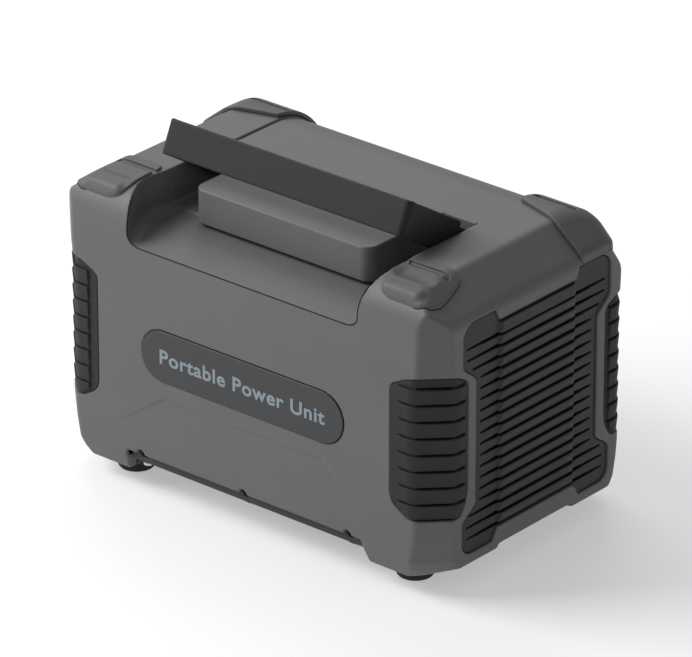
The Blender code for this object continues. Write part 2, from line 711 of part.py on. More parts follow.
def make_usb_block():
    x, z = USB_PLACE
    outline = rectangle(x, z, USB_HALF[0], USB_HALF[1], 3)
    block = prism("usb_port_block", outline, "Y", PANEL_FACE - 18, PANEL_FACE + 0.8, "socket")
    for k, (wide, high) in enumerate(((6.3, 2.4), (6.3, 2.4), (4.4, 1.5), (4.4, 1.5))):
        row = z + 13.5 - 9.0 * k
        cut(block, prism("port", rectangle(x, row, wide, high), "Y", PANEL_FACE - 9, 100))
        tongue_half = 1.0 if k < 2 else 0.4
        tongue = box("tongue", (x - wide + 1.2, PANEL_FACE - 10, row - tongue_half + 0.4),
                     (x + wide - 1.2, PANEL_FACE - 1, row + tongue_half + 0.4))
        join(block, tongue)
    return block


def make_car_socket():
    """The 12 V car socket, its rubber cap, and the small hinge that the cap swings up on."""
    x, z = CAR_PLACE
    face = PANEL_FACE + 0.6
    deep = face - CAR_DEPTH
    profile = [(0, deep - 6), (CAR_RADIUS, deep - 6), (CAR_RADIUS, face), (CAR_BORE, face), (CAR_BORE, deep),
               (2.5, deep), (2.5, deep + 3), (0, deep + 3)]
    lathe("car_socket", profile, "Y", (x, z), 24, "socket")
    low = face + GAP
    high = low + CAP_THICKNESS
    axis = ((low + high) / 2, z + CAP_HINGE_RISE)
    cap = prism("car_socket_cap", circle(x, z, CAP_RADIUS), "Y", low, high, "rubber")
    join(cap, box("ear", (x - 5, low, z + CAP_RADIUS - 3), (x + 5, high, axis[1] + 1.4)))
    cut(cap, prism("hinge_bore", circle(*axis, HINGE_PIN + 0.1, 12), "X", x - 20, x + 20))
    pin = [(0, x - 8), (HINGE_PIN, x - 8), (HINGE_PIN, x + 8), (0, x + 8)]
    lathe("cap_hinge_pin", pin, "X", axis, 12, "steel")
    seat = PANEL_FACE + GAP
    bracket = box("cap_hinge_bracket", (x - 8, seat, axis[1] + 2.4), (x + 8, high, axis[1] + 4), "steel")
    for side in (-1, 1):
        near, far = span(side, 5.4, 8.0)
        lug = box("lug", (x + near, seat, axis[1] - 2), (x + far, high, axis[1] + 3))
        cut(lug, prism("lug_bore", circle(*axis, HINGE_PIN + 0.1, 12), "X", x - 20, x + 20))
        join(bracket, lug)
    swing = Matrix.Translation(Vector((x, *axis)) * MM)
    cap.data.transform(swing.inverted())
    cap.matrix_world = swing


def make_buttons():
    for name, x in BUTTONS.items():
        collar = BUTTON_RADIUS + 1.5
        stop = PANEL_FACE - WALL - GAP
        cap = PANEL_FACE + 1.6
        stem, rear = 4.0, stop - 1.2
        profile = [(0, rear - 4.3), (stem, rear - 4.3), (stem, rear), (collar, rear), (collar, stop),
                   (BUTTON_RADIUS, stop), (BUTTON_RADIUS, cap), (0, cap)]
        lathe(name, profile, "Y", (x, BUTTON_Z), 24, "button")


def make_display():
    outline = rectangle(0, BUTTON_Z, DISPLAY_HALF[0], DISPLAY_HALF[1], 3)
    prism("display_window", outline, "Y", PANEL_FACE - 2.5, PANEL_FACE + 0.2, "glass")
    board = box("control_board", (-104, 76, 112), (104, 76 + BOARD, 146), "board")
    join(board, box("screen", (-33, 77, BUTTON_Z - 12), (33, 86.5, BUTTON_Z + 12)))


def make_lamp():
    outline = rectangle(LAMP_PLACE[0], LAMP_PLACE[1], LAMP_HALF[0], LAMP_HALF[1], 4)
    prism("lamp_lens", outline, "Y", PANEL_FACE - 3, PANEL_FACE + 1.0, "lens")
    x, z = LAMP_PLACE
    board = box("led_board", (x - 60, 84, z - 5), (x + 60, 84 + BOARD, z + 5), "board")
    pitch = 2 * LAMP_HALF[0] / (LAMP_LEDS + 0.8)
    for k in range(LAMP_LEDS):
        place_x = x + pitch * (k - (LAMP_LEDS - 1) / 2)
        join(board, box("led", (place_x - 2, 85, z - 2), (place_x + 2, 86.6, z + 2)))


# Inside ----------------------------------------------------------------------------------------------

def make_cells():
    start = -CELL_PITCH * (CELLS_PER_ROW - 1) / 2
    for number, y in enumerate(CELL_ROWS, 1):
        strip = box(f"cell_row_{number}", (start - 10, y - 4, CELL_LOW + CELL_HEIGHT - 1),
                    (-start + 10, y + 4, CELL_LOW + CELL_HEIGHT + 0.4), "cell")
        for k in range(CELLS_PER_ROW):
            join(strip, prism("cell", circle(start + CELL_PITCH * k, y, CELL_RADIUS, 16), "Z",
                              CELL_LOW, CELL_LOW + CELL_HEIGHT))
        smooth(strip)
    middle = sum(CELL_ROWS) / 2
    half_x = -start + CELL_RADIUS + 3
    half_y = 17 + CELL_RADIUS + 2.5
    for name, low, high, open_up in (("cell_tray", 25.0, 42.0, True),
                                     ("cell_clamp_frame", 90.0, 106.0, False)):
        tray = prism(name, rectangle(0, middle, half_x, half_y, 4), "Z", low, high, "dark")
        hollow = (CELL_LOW - GAP, high + 5) if open_up else (low - 5, CELL_LOW + CELL_HEIGHT + 0.4 + GAP)
        cut(tray, prism("hollow", rectangle(0, middle, half_x - 2.6, half_y - 2.1), "Z", *hollow))
    board = box("battery_board", (-100, middle - 26, 108), (100, middle + 26, 108 + BOARD), "board")
    for k in range(6):
        x = -75 + 30 * k
        join(board, box("transistor", (x - 5, middle + 8, 109), (x + 5, middle + 18, 113)))
    join(board, box("shunt", (-60, middle - 20, 109), (60, middle - 14, 112)))


def make_power_boards():
    low, high = POWER_BOARD_Z, POWER_BOARD_Z + BOARD
    board = box("inverter_board", (4, 4, low), (116, 64, high), "board")
    for x in (14, 32):
        for y in (14, 32):
            join(board, prism("capacitor", circle(x, y, 8, 12), "Z", low + 1, 60))
    smooth(board)
    charger = box("charger_board", (-116, 4, low), (-4, 64, high), "board")
    join(charger, box("choke", (-60, 14, low + 1), (-34, 40, 52)))
    join(charger, prism("capacitor", circle(-18, 22, 9, 12), "Z", low + 1, 58))
    core = box("inverter_transformer", (52, 10, high + GAP), (92, 50, 64), "dark")
    join(core, box("winding", (57, 5, 33), (87, 55, 61)))
    for name, x in (("inverter_heat_sink", 107.0), ("charger_heat_sink", -95.0)):
        sink = box(name, (x - 8, 8, high + GAP), (x - 5, 46, 72), "aluminium")
        for k in range(7):
            z = high + 2.4 + FIN_PITCH * k
            join(sink, box("fin", (x - 6, 8, z), (x + 6, 46, z + 1.6)))


def make_fan(side):
    name = "right" if side > 0 else "left"
    frame = prism(f"{name}_fan_frame", rectangle(0, FAN_Z, FAN_HALF, FAN_HALF, 4), "X",
                  *span(side, FAN_INNER, FAN_INNER + FAN_DEPTH), "dark")
    cut(frame, prism("bore", circle(0, FAN_Z, FAN_BORE, 32), "X", *span(side, FAN_INNER - 5, FAN_INNER + 30)))
    plate = span(side, FAN_INNER, FAN_INNER + 1.5)
    reach, half = FAN_BORE + 1.5, 3.0
    for strut in (rectangle(0, FAN_Z, reach, half), rectangle(0, FAN_Z, half, reach),
                  circle(0, FAN_Z, 15, 16)):
        join(frame, prism("strut", strut, "X", *plate))
    axle = circle(0, FAN_Z, HUB[1] - 0.4, 12)
    join(frame, prism("axle", axle, "X", *span(side, FAN_INNER + 1, FAN_INNER + 17)))
    low, high = side * (FAN_INNER + 3), side * (FAN_INNER + FAN_DEPTH - 2)
    profile = [(HUB[1], low), (HUB[0], low), (HUB[0], high), (HUB[1], high)]
    rotor = lathe(f"{name}_fan_rotor", profile, "X", (0, FAN_Z), 24, "dark")
    for k in range(FAN_BLADES):
        join(rotor, fan_blade(side, tau * k / FAN_BLADES))
    origin = Matrix.Translation(Vector((0.0, 0.0, FAN_Z)) * MM)
    rotor.data.transform(origin.inverted())
    rotor.matrix_world = origin


def fan_blade(side, angle):
    """One twisted blade from the hub to just inside the bore."""
    rings = []
    for radius, twist in ((14.0, 50.0), (25.0, 40.0), (36.0, 30.0)):
        half_chord = 6.5
        ring = []
        for u, v in ((-1, -0.6), (1, -0.6), (1, 0.6), (-1, 0.6)):
            pitch = radians(twist)
            along = u * half_chord * sin(pitch) + v * cos(pitch)
            around = u * half_chord * cos(pitch) - v * sin(pitch)
            turn = angle + around / radius
            x = side * (FAN_INNER + 10.5) + along
            ring.append((x, radius * cos(turn), FAN_Z + radius * sin(turn)))
        rings.append(ring)
    return loft("blade", rings)


def main():
    clear_scene()
    make_housing()
    make_base_tray()
    make_screws()
    make_top_cover()
    for side in (-1, 1):
        make_vent(side)
        make_fan(side)
    for sx in (-1, 1):
        for sy in (-1, 1):
            make_pad(sx, sy)
            make_bumper(sx, sy)
            make_foot(sx, sy)
    make_label()
    make_handle()
    make_pins()
    make_panel()
    for number, x in enumerate(AC_X, 1):
        make_ac_outlet(number, x)
    for number, z in enumerate(DC_Z, 1):
        make_jack(f"dc_output_jack_{number}", DC_X, z)
    make_jack("charging_input_jack", *INPUT_PLACE)
    make_usb_block()
    make_car_socket()
    make_buttons()
    make_display()
    make_lamp()
    make_cells()
    make_power_boards()


main()
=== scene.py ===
"""A portable power station in moulded plastic, built round its packed mechanical model.

The outer mouldings are modelled as distance fields: a shape is a function that is negative inside it, shapes
meet with rounded edges, and `solid` turns one into a mesh whose points lie on its surface. Lengths in those
functions are millimetres, in the axes of the model: +X along the case, -Y the plain face, +Z up.
"""
from itertools import product
from math import cos, hypot, pi, radians, sin, sqrt, tau

import bmesh
import bpy
import numpy as np
from mathutils import Matrix, Vector


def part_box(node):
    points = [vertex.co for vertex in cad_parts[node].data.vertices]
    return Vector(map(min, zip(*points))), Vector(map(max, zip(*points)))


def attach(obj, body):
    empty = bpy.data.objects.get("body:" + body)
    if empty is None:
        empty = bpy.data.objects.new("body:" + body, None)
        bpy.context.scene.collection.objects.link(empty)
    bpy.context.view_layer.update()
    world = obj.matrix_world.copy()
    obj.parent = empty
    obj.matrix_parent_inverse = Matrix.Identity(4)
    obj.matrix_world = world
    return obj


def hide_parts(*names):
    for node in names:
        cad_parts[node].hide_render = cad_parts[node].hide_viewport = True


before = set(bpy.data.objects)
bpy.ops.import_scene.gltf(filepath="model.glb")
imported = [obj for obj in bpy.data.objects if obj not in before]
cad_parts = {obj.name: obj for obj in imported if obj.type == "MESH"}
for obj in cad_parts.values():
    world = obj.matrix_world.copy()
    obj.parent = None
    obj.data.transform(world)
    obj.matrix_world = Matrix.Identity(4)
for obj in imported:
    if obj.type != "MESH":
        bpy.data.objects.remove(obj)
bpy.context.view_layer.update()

MM = 0.001
GAP = 0.3

# Case
HALF_LENGTH = 150.0
HALF_WIDTH = 94.0
TOP = 198.0
BASE = 12.0
BELLY = 20.5
WALL = 3.0
FRONT_RADIUS = 24.0
PORT_RADIUS = 46.0
SLOPE_RUN = 24.0
SLOPE_DROP = 19.0
CORNER_HEIGHTS = (12.0, 18.0, 24.0, 37.0, 47.0, 146.0, 154.0, 170.0)
CORNER_SUMS = (214.0, 220.5, 224.5, 227.0, 228.0, 228.5, 229.0, 229.5)
CORNER_CUT = (0.49, 0.72, 0.49)
CORNER_CUT_AT = 210.2
FRONT_UNDERCUT = (97.0, 93.0, 27.5)
END_UNDERCUT = (40.0, 35.0, BELLY)
TRAY_HALF = (127.0, 82.0)
TRAY_BEVEL = 8.0
SKIRT_TOP = 27.2
SCREW_X = 41.0
SCREW_Y = 86.5
FRONT_CREASE = ((92.0, 52.0), (63.0, 72.0))
CREASE_DEPTH = 0.7

# Handle recess and the panel behind it
RECESS_FLOOR = 174.0
RECESS_REAR = 10.4
TROUGH_HALF = 98.0
TROUGH_DRAFT = 8.0
TROUGH_LIP = 166.0
TROUGH_CREST = -67.0
TROUGH_REAR = -47.0
CHANNEL_HALF = 95.3
ISLAND_HALF = 69.0
ISLAND_FRONT = -58.0
COVER_HALF = 93.8
COVER_SINK = 1.0
COVER_REAR_Z = 152.0

# End vents
VENT_SLATS = 18
VENT_TOP_GAP = 158.7
VENT_PITCH = 7.3
VENT_SINK = 1.2
VENT_RISE = 0.9
VENT_LEAN = 0.9
VENT_SLOT_HALVES = (0.62, 0.35, 1.05)
VENT_SLOT_MARGIN = 4.5
VENT_RAISED_HALF = 36.0
VENT_HALF = 68.7
VENT_WAIST = 56.5
VENT_WAIST_Z = (46.0, 58.0, 136.0, 150.0)
VENT_NOTCHES = ((36.0, 39.0), (168.0, 175.0), (36.0, 41.0), (33.0, 25.0))

# Grip pads
PAD_TOP = 145.5
PAD_BOTTOM = 53.0
PAD_SLANT = (14.0, 8.5)
PAD_SHOULDERS = ((17.0, 8.0), (12.0, 6.4))
PAD_SUM = 226.3
PAD_SEAT = -1.4
PAD_START_X = 115.0
PAD_END_Y = 64.5
PAD_GROOVES = 8
PAD_PITCH = 10.8
PAD_FIRST_GROOVE = 139.0
TREAD_RISE = 1.6
TREAD_LEAN = 1.2
TREAD_GAP = 0.9

# Handle
PIVOT = (2.0, 187.5)
BAR_LOW = (-57.8, 212.0)
BAR_HIGH = (-48.6, 232.0)
STRAP = 4.0
HANDLE_HALF = 94.6
HUB_RADIUS = 7.5
ARM_NECK = ((14.5, 10.9), (11.5, 7.5))
PIN_RADIUS = 3.0

# Bumpers, label and joint lines
BUMPER_RISE = 3.0
FRONT_BUMPER_RISE = 1.6
FRONT_BUMPER_SEAT = -8.0
FRONT_BUMPER_LOW = 182.0
BUMPER_HOLLOW = ((116.0, -71.5, TOP + 7.6), 9.0, 8.6)
BUMPER_RIB = ((116.5, -82.5, 192.0), 10.5, 5.4)
FRONT_BUMPER = [(98.5, 50.0), (133.0, 50.0), (140.5, 80.0), (136.0, 89.0), (104.0, 89.0), (98.5, 83.0)]
REAR_BUMPER = [(94.6, 41.0), (128.0, 41.0), (149.9, 34.5), (149.9, 70.0), (131.0, 95.0), (94.6, 96.0)]
BUMPER_GROOVES = ((FRONT_BUMPER_RISE, (114.5, 59.4)), (BUMPER_RISE, (112.0, 62.5)))
LABEL_Z = 99.4
LABEL_HALF_HEIGHT = 16.8
LABEL_HALF_LENGTH = 79.3
LABEL_SEAT = 1.2
LETTER_SIZE = 13.0
LETTER_BOLD = 0.3
LETTER_SPAN = 0.82
RIM_RADIUS = 0.32

# Socket side: each piece in the panel with its corner radius, how much less than its box shows, and its rim
BUTTON_RADIUS = 6.0
BUTTONS = ("main_power_button", "dc_output_button", "ac_output_button", "lamp_button")
JACKS = ("dc_output_jack_1", "dc_output_jack_2", "charging_input_jack")
PANEL_PIECES = [(name, 6.0, 1.5, 1.0) for name in BUTTONS] + [
    ("display_window", 3.0, 0.0, 1.2), ("ac_outlet_1", 4.0, 0.0, 1.2), ("ac_outlet_2", 4.0, 0.0, 1.2),
    ("usb_port_block", 3.0, 0.0, 1.0), *((name, 6.5, 0.0, 0.8) for name in JACKS),
    ("car_socket", 13.5, 0.0, 0.0), ("lamp_lens", 4.0, 0.0, 0.8)]
USB_PORTS = [(6.3, 2.4, 0.4), (6.3, 2.4, 0.4), (4.4, 1.5, 1.4), (4.4, 1.5, 1.4)]



# Distance fields ------------

def extent(node):
    """The corners of a CAD node's box, in millimetres."""
    low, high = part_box(node)
    return np.array(low) / MM, np.array(high) / MM


def both(a, b, radius=0.0):
    """Where two shapes overlap, with the edge between them rounded."""
    if radius <= 0:
        return np.maximum(a, b)
    inner = np.minimum(np.maximum(a, b), -radius)
    return inner + np.hypot(np.maximum(a + radius, 0), np.maximum(b + radius, 0))


def either(a, b, radius=0.0):
    """Two shapes together, with a fillet between them."""
    return -both(-a, -b, radius)


def less(a, b, radius=0.0):
    """The first shape with the second cut out of it, and the rim of the cut rounded."""
    return both(a, -b, radius)


def slab(v, middle, half):
    """A layer on each side of a middle value."""
    return np.abs(v - middle) - half


def between(v, low, high):
    """A layer between two values."""
    return slab(v, (low + high) / 2, (high - low) / 2)


def pill(a, b, half_a, half_b):
    """A stadium: a bar with round ends, in two coordinates from its middle."""
    radius = min(half_a, half_b)
    past_a, past_b = (np.maximum(np.abs(v) - half + radius, 0) for v, half in ((a, half_a), (b, half_b)))
    return np.hypot(past_a, past_b) - radius


def convex(a, b, corners, radius):
    """A convex outline through corners in anticlockwise order, with rounded corners."""
    shape = None
    for (a0, b0), (a1, b1) in zip(corners, corners[1:] + corners[:1]):
        length = hypot(a1 - a0, b1 - b0)
        edge = ((a - a0) * (b1 - b0) - (b - b0) * (a1 - a0)) / length
        shape = edge if shape is None else both(shape, edge, radius)
    return shape


def through(a, b, first, second):
    """The half plane on the right of a line through two points."""
    (a0, b0), (a1, b1) = first, second
    return ((b - b0) * (a1 - a0) - (a - a0) * (b1 - b0)) / hypot(a1 - a0, b1 - b0)


def front_relief(x, z):
    """How far the lower part of the plain face is drawn in, below a soft crease."""
    low, high = FRONT_CREASE[0], FRONT_CREASE[1]
    slope = (high[1] - low[1]) / (low[0] - high[0])
    inside = np.minimum(high[1] - z, (low[0] + (low[1] - z) / slope - np.abs(x)) * 0.6)
    return CREASE_DEPTH * smoothed(inside / 3.0) * np.clip((z - 36.0) / 34.0, 0.0, 1.0)


def smoothed(t):
    """A soft step from 0 to 1."""
    t = np.clip(t, 0.0, 1.0)
    return t * t * (3 - 2 * t)


# Meshes from fields ------------

def surface_points(value, inside, low, step):
    """One point in each cube that the surface crosses, with the number of each cube's point."""
    corners = sum(inside[i:inside.shape[0] - 1 + i, j:inside.shape[1] - 1 + j,
                         k:inside.shape[2] - 1 + k].astype(np.int8)
                  for i in (0, 1) for j in (0, 1) for k in (0, 1))
    crossed = (corners > 0) & (corners < 8)
    number = np.full(crossed.shape, -1, np.int32)
    cells = np.argwhere(crossed)
    number[crossed] = np.arange(len(cells))
    total = np.zeros((len(cells), 3))
    count = np.zeros(len(cells))
    for axis in range(3):
        along = np.eye(3, dtype=int)[axis]
        others = [np.eye(3, dtype=int)[k] for k in range(3) if k != axis]
        for offset in (0 * along, others[0], others[1], others[0] + others[1]):
            start = cells + offset
            first = value[tuple(start.T)]
            second = value[tuple((start + along).T)]
            hit = (first < 0) != (second < 0)
            share = first[hit] / (first[hit] - second[hit])
            total[hit] += start[hit] + share[:, None] * along
            count[hit] += 1
    return low + step * total / count[:, None], number


def surface_quads(inside, number):
    """The faces that join those points, one round each grid edge that the surface cuts, facing outwards."""
    quads = []
    for axis in range(3):
        b, c = np.eye(3, dtype=int)[(axis + 1) % 3], np.eye(3, dtype=int)[(axis + 2) % 3]
        first = np.moveaxis(inside, axis, 0)[:-1]
        second = np.moveaxis(inside, axis, 0)[1:]
        edges = np.argwhere(np.moveaxis(first != second, 0, axis))
        limit = np.array(number.shape)
        keep = ((edges - b - c >= 0) | (b + c == 0)).all(1) & (edges < limit).all(1)
        edges = edges[keep]
        turns = ((0, 0), (1, 0), (1, 1), (0, 1))
        ring = np.stack([number[tuple((edges - i * b - j * c).T)] for i, j in turns], 1)
        flip = ~inside[tuple(edges.T)]
        ring[flip] = ring[flip][:, ::-1]
        quads.append(ring)
    return np.concatenate(quads)


def slope_of(shape, points, reach=0.05):
    """The gradient of a field at each point."""
    parts = []
    for axis in range(3):
        shift = np.zeros(3)
        shift[axis] = reach
        ahead, behind = points + shift, points - shift
        parts.append((shape(*ahead.T) - shape(*behind.T)) / (2 * reach))
    return np.stack(parts, 1)


def settle(shape, points, reach, rounds=4):
    """Move points onto the surface, each along the field's slope and never far."""
    for _ in range(rounds):
        slope = slope_of(shape, points)
        size = np.maximum((slope ** 2).sum(1), 0.05)
        move = np.clip(shape(*points.T) / size, -reach, reach)
        points = points - move[:, None] * slope
    return points


def mesh_of(name, points, faces):
    """A mesh from points in millimetres and an array of faces."""
    data = bpy.data.meshes.new(name)
    data.vertices.add(len(points))
    data.vertices.foreach_set("co", (points * MM).astype(np.float32).ravel())
    data.loops.add(faces.size)
    data.loops.foreach_set("vertex_index", faces.astype(np.int32).ravel())
    data.polygons.add(len(faces))
    data.polygons.foreach_set("loop_start", np.arange(0, faces.size, faces.shape[1], dtype=np.int32))
    data.update(calc_edges=True)
    return data


def added(name, data):
    """A new object in the scene."""
    made = bpy.data.objects.new(name, data)
    bpy.context.scene.collection.objects.link(made)
    return made


def solid(name, shape, low, high, step, keep=1.0):
    """The mesh of one distance field, found on a grid over the box from low to high and thinned to a share of
    its faces, with its normals taken from the field."""
    low = np.array(low, float)
    counts = [int(np.ceil((b - a) / step)) + 1 for a, b in zip(low, high)]
    axes = [a + step * np.arange(n) for a, n in zip(low, counts)]
    value = np.broadcast_to(shape(*np.meshgrid(*axes, indexing="ij", sparse=True)), counts)
    inside = value < 0
    points, number = surface_points(value, inside, low, step)
    points = settle(shape, points, step / 2)
    made = added(name, mesh_of(name, points, surface_quads(inside, number)))
    if keep < 1.0:
        thin = made.modifiers.new("thin", "DECIMATE")
        thin.ratio = keep
        graph = bpy.context.evaluated_depsgraph_get()
        made.data = bpy.data.meshes.new_from_object(made.evaluated_get(graph))
        made.modifiers.clear()
    count = len(made.data.vertices)
    points = np.zeros(count * 3)
    made.data.vertices.foreach_get("co", points)
    points = settle(shape, points.reshape(-1, 3) / MM, step / 4, 2)
    made.data.vertices.foreach_set("co", (points * MM).astype(np.float32).ravel())
    normals = slope_of(shape, points, 0.12)
    normals /= np.maximum(np.linalg.norm(normals, axis=1), 1e-6)[:, None]
    made.data.shade_smooth()
    made.data.normals_split_custom_set_from_vertices(normals.tolist())
    made.data.update()
    return made


# The case's outer form ------------

def form(x, y, z):
    """The body of the case before anything is cut from it."""
    ax, ay = np.abs(x), np.abs(y)
    top = z - TOP
    face = -y - HALF_WIDTH + front_relief(x, z)
    across = np.maximum(both(face, top, FRONT_RADIUS), both(y - HALF_WIDTH, top, PORT_RADIUS))
    shoulder = -through(ax, z, (HALF_LENGTH - SLOPE_RUN, TOP), (HALF_LENGTH, TOP - SLOPE_DROP))
    ends = both(ax - HALF_LENGTH, -shoulder, 4.0)
    body = both(across, ends, 1.5)
    corner = (ax + ay - np.interp(z, CORNER_HEIGHTS, CORNER_SUMS)) / sqrt(2)
    body = both(body, corner, 1.5)
    facet = ax * CORNER_CUT[0] + y * CORNER_CUT[1] + z * CORNER_CUT[2] - CORNER_CUT_AT
    body = both(body, facet, 2.0)
    under_side = through(ay, z, (89.0, BASE), (HALF_WIDTH, 24.5))
    under_end = through(ax, z, (131.0, BASE), (149.5, 18.0))
    body = both(both(body, -under_side, 0.8), -under_end, 1.5)
    return both(body, BASE - z, 1.2)


def recess(x, y, z):
    """The space of the handle recess: a trough across the front and a flat well behind it. The trough's ends
    draw in towards the plain face."""
    ax = np.abs(x)
    run = through(y, z, (TROUGH_CREST, RECESS_FLOOR), (-HALF_WIDTH, TROUGH_LIP))
    above = either(RECESS_FLOOR - z, run, 12.0)
    half = TROUGH_HALF - TROUGH_DRAFT * np.clip((TROUGH_CREST + 1.0 - y) / 28.0, 0.0, 1.4) ** 1.6
    half = half - (TROUGH_HALF - CHANNEL_HALF) * smoothed((y - TROUGH_CREST) / (TROUGH_REAR - TROUGH_CREST))
    trough = both(both(ax - half, above, 9.0), y - TROUGH_REAR, 1.0)
    well = both(both(ax - CHANNEL_HALF, RECESS_FLOOR - z, 3.0), y - RECESS_REAR, 1.0)
    well = both(well, -60.0 - y)
    return either(trough, well, 0.8)


def vent_half(z):
    """Half the width of an end vent at a height: it narrows in the middle, between the grip pads."""
    low, narrow_low, narrow_high, high = VENT_WAIST_Z
    share = smoothed((narrow_low - z) / (narrow_low - low))
    share = share + smoothed((z - narrow_high) / (high - narrow_high))
    return VENT_WAIST + (VENT_HALF - VENT_WAIST) * share


def vent_region(ay, z):
    """Outline of an end vent: notched at top and bottom, waisted along the sides."""
    high = np.interp(ay, VENT_NOTCHES[0], VENT_NOTCHES[1])
    low = np.interp(ay, VENT_NOTCHES[2], VENT_NOTCHES[3])
    return both(both((ay - vent_half(z)) * 0.85, z - high, 8.0), low - z, 8.0)


def pad_corner(ax, ay):
    """The corner of the case as a grip pad follows it: two faces and the chamfer between them."""
    return both(np.maximum(ax - HALF_LENGTH, ay - HALF_WIDTH), (ax + ay - PAD_SUM) / sqrt(2), 2.0)


def pad_region(ax, ay, z):
    """Where a grip pad lies on its corner: with shoulders above and slanted corners below."""
    run, rise = PAD_SLANT
    top = z - PAD_TOP
    for (out, drop), past in zip(PAD_SHOULDERS, (ax - PAD_START_X, ay - PAD_END_Y)):
        top = both(top, (z - PAD_TOP + drop - past * drop / out) / hypot(1, drop / out), 2.0)
    start = both(PAD_START_X - ax, top, 3.0)
    finish = both(PAD_END_Y - ay, top, 3.0)
    slant = (PAD_START_X - ax + (PAD_BOTTOM + rise - z) * run / rise) / hypot(1, run / rise)
    other = (PAD_END_Y - ay + (PAD_BOTTOM + rise - z) * run / rise / 2) / hypot(1, run / rise / 2)
    region = both(both(start, slant, 5.0), both(finish, other, 5.0))
    return both(region, PAD_BOTTOM - z, 1.0)


def undercut(a, z, shape):
    """A cut along the middle of a bottom edge, whose half width changes with height."""
    low, high, top = shape
    return both(a - (low + (high - low) * z / top), z - top, 1.5)


def tray_outline(ax, ay):
    """Outline of the underside, with bevelled corners."""
    half_x, half_y = TRAY_HALF
    past = -9.0
    return convex(ax, ay, [(past, past), (half_x, past), (half_x, half_y - TRAY_BEVEL),
                           (half_x - TRAY_BEVEL, half_y), (past, half_y)], 0)


def housing(x, y, z):
    """The four-wall moulding of the case, with a seat for everything that is let into it."""
    ax, ay = np.abs(x), np.abs(y)
    outer = form(x, y, z)
    space = recess(x, y, z)
    shell = less(outer, space, 0.9)
    cavity = less(outer + WALL, space - WALL)
    shell = less(shell, cavity)
    rib = both(both(slab(ax, 96.2, 3.8), 82.6 - ay), z - 23)
    rib = either(rib, both(both(slab(ay, 39.0, 3.8), 127.8 - ax), z - 23))
    shell = either(shell, both(rib, outer + 0.5))
    shell = less(shell, both(tray_outline(ax, ay) - GAP, z - BASE - 8), 0.5)
    shell = less(shell, both(both(ax - COVER_HALF - GAP, RECESS_REAR - 2 - y), COVER_REAR_Z - GAP - z), 0.6)
    low, high = extent("socket_panel")
    panel = both(slab(x, 0, high[0] + GAP), between(z, low[2] - GAP, high[2] + GAP), 2.0)
    shell = less(shell, both(panel, 60 - y), 0.8)
    shell = less(shell, both(undercut(ax, z, FRONT_UNDERCUT), 80 - ay), 1.0)
    shell = less(shell, both(undercut(ay, z, END_UNDERCUT), 120 - ax), 1.0)
    pocket = both(pad_region(ax, ay, z) - GAP, PAD_SEAT - pad_corner(ax, ay))
    shell = less(shell, pocket, 0.5)
    shell = less(shell, both(vent_region(ay, z) - GAP, 130 - ax), 0.8)
    label = pill(x, z - LABEL_Z, LABEL_HALF_LENGTH + GAP, LABEL_HALF_HEIGHT + GAP)
    shell = less(shell, both(label, y + HALF_WIDTH - LABEL_SEAT), 0.3)
    seat = both(bumper_plan(ax, -y, True) + 1.5, FRONT_BUMPER_SEAT - outer)
    shell = less(shell, both(seat, FRONT_BUMPER_LOW - z))
    shell = less(shell, screw_notch(ax, ay, z), 0.4)
    pin = np.hypot(y - PIVOT[0], z - PIVOT[1]) - PIN_RADIUS - GAP
    return less(shell, both(pin, slab(ax, 97, 7)))


def top_cover(x, y, z):
    """The centre panel, one moulding with the block between the handle's arms."""
    ax = np.abs(x)
    skin = form(x, y, z) + COVER_SINK
    panel = both(both(skin, ax - COVER_HALF, 0.7), both(RECESS_REAR - y, COVER_REAR_Z - z, 0.6), 0.7)
    panel = less(panel, skin + WALL)
    top = TOP - COVER_SINK
    plan = both(ax - ISLAND_HALF, ISLAND_FRONT - y, 8.0)
    island = both(both(plan, z - top, 1.1), y - RECESS_REAR - WALL)
    island = both(island, RECESS_FLOOR + GAP - z)
    rear = both(ax - COVER_HALF, between(y, RECESS_REAR, RECESS_REAR + WALL))
    rear = both(rear, between(z, RECESS_FLOOR + GAP, top))
    hollow = both(both(plan + WALL, z - top + WALL), y - RECESS_REAR - 20)
    island = either(island, rear, 1.0)
    return either(less(island, hollow), panel)


# Pieces let into the case ------------

def vent_panel(ax, y, z):
    """A louvred panel: the slots of its raised middle are thin, and those at its sides run to a point."""
    ay = np.abs(y)
    face = ax - HALF_LENGTH + VENT_SINK
    panel = both(both(vent_region(ay, z), face, 0.4), HALF_LENGTH - WALL - 1.5 - ax)
    low, high = VENT_NOTCHES[3][0] + 1, VENT_NOTCHES[1][0] - 1
    row = np.clip(np.round((VENT_TOP_GAP - z) / VENT_PITCH), 0, VENT_SLATS - 1)
    slot_z = VENT_TOP_GAP - VENT_PITCH * row
    below = np.clip((slot_z - z) / VENT_PITCH, -0.5, 0.5) % 1.0
    lean = VENT_LEAN * smoothed((below - 0.30) / 0.55)
    last = VENT_TOP_GAP - VENT_PITCH * (VENT_SLATS - 1)
    lean = np.where((z > VENT_TOP_GAP) | (z < last), 0.0, lean)
    ramp = (ay - VENT_RAISED_HALF + face) / sqrt(2)
    raised = both(both(ramp, between(z, low, high), 1.0), ax - HALF_LENGTH - VENT_RISE + lean, 0.6)
    raised = both(raised, HALF_LENGTH - WALL - ax)
    panel = either(panel, raised, 0.4)
    half = vent_half(slot_z) - VENT_SLOT_MARGIN
    inner = np.clip((half - ay) / (half - VENT_RAISED_HALF), 0.0, 1.0)
    middle, point, root = VENT_SLOT_HALVES
    opened = np.where(ay < VENT_RAISED_HALF - 0.5, middle, point + (root - point) * inner)
    slot = both(np.abs(z - slot_z) - opened, ay - half, 0.2)
    return less(panel, slot, 0.3)


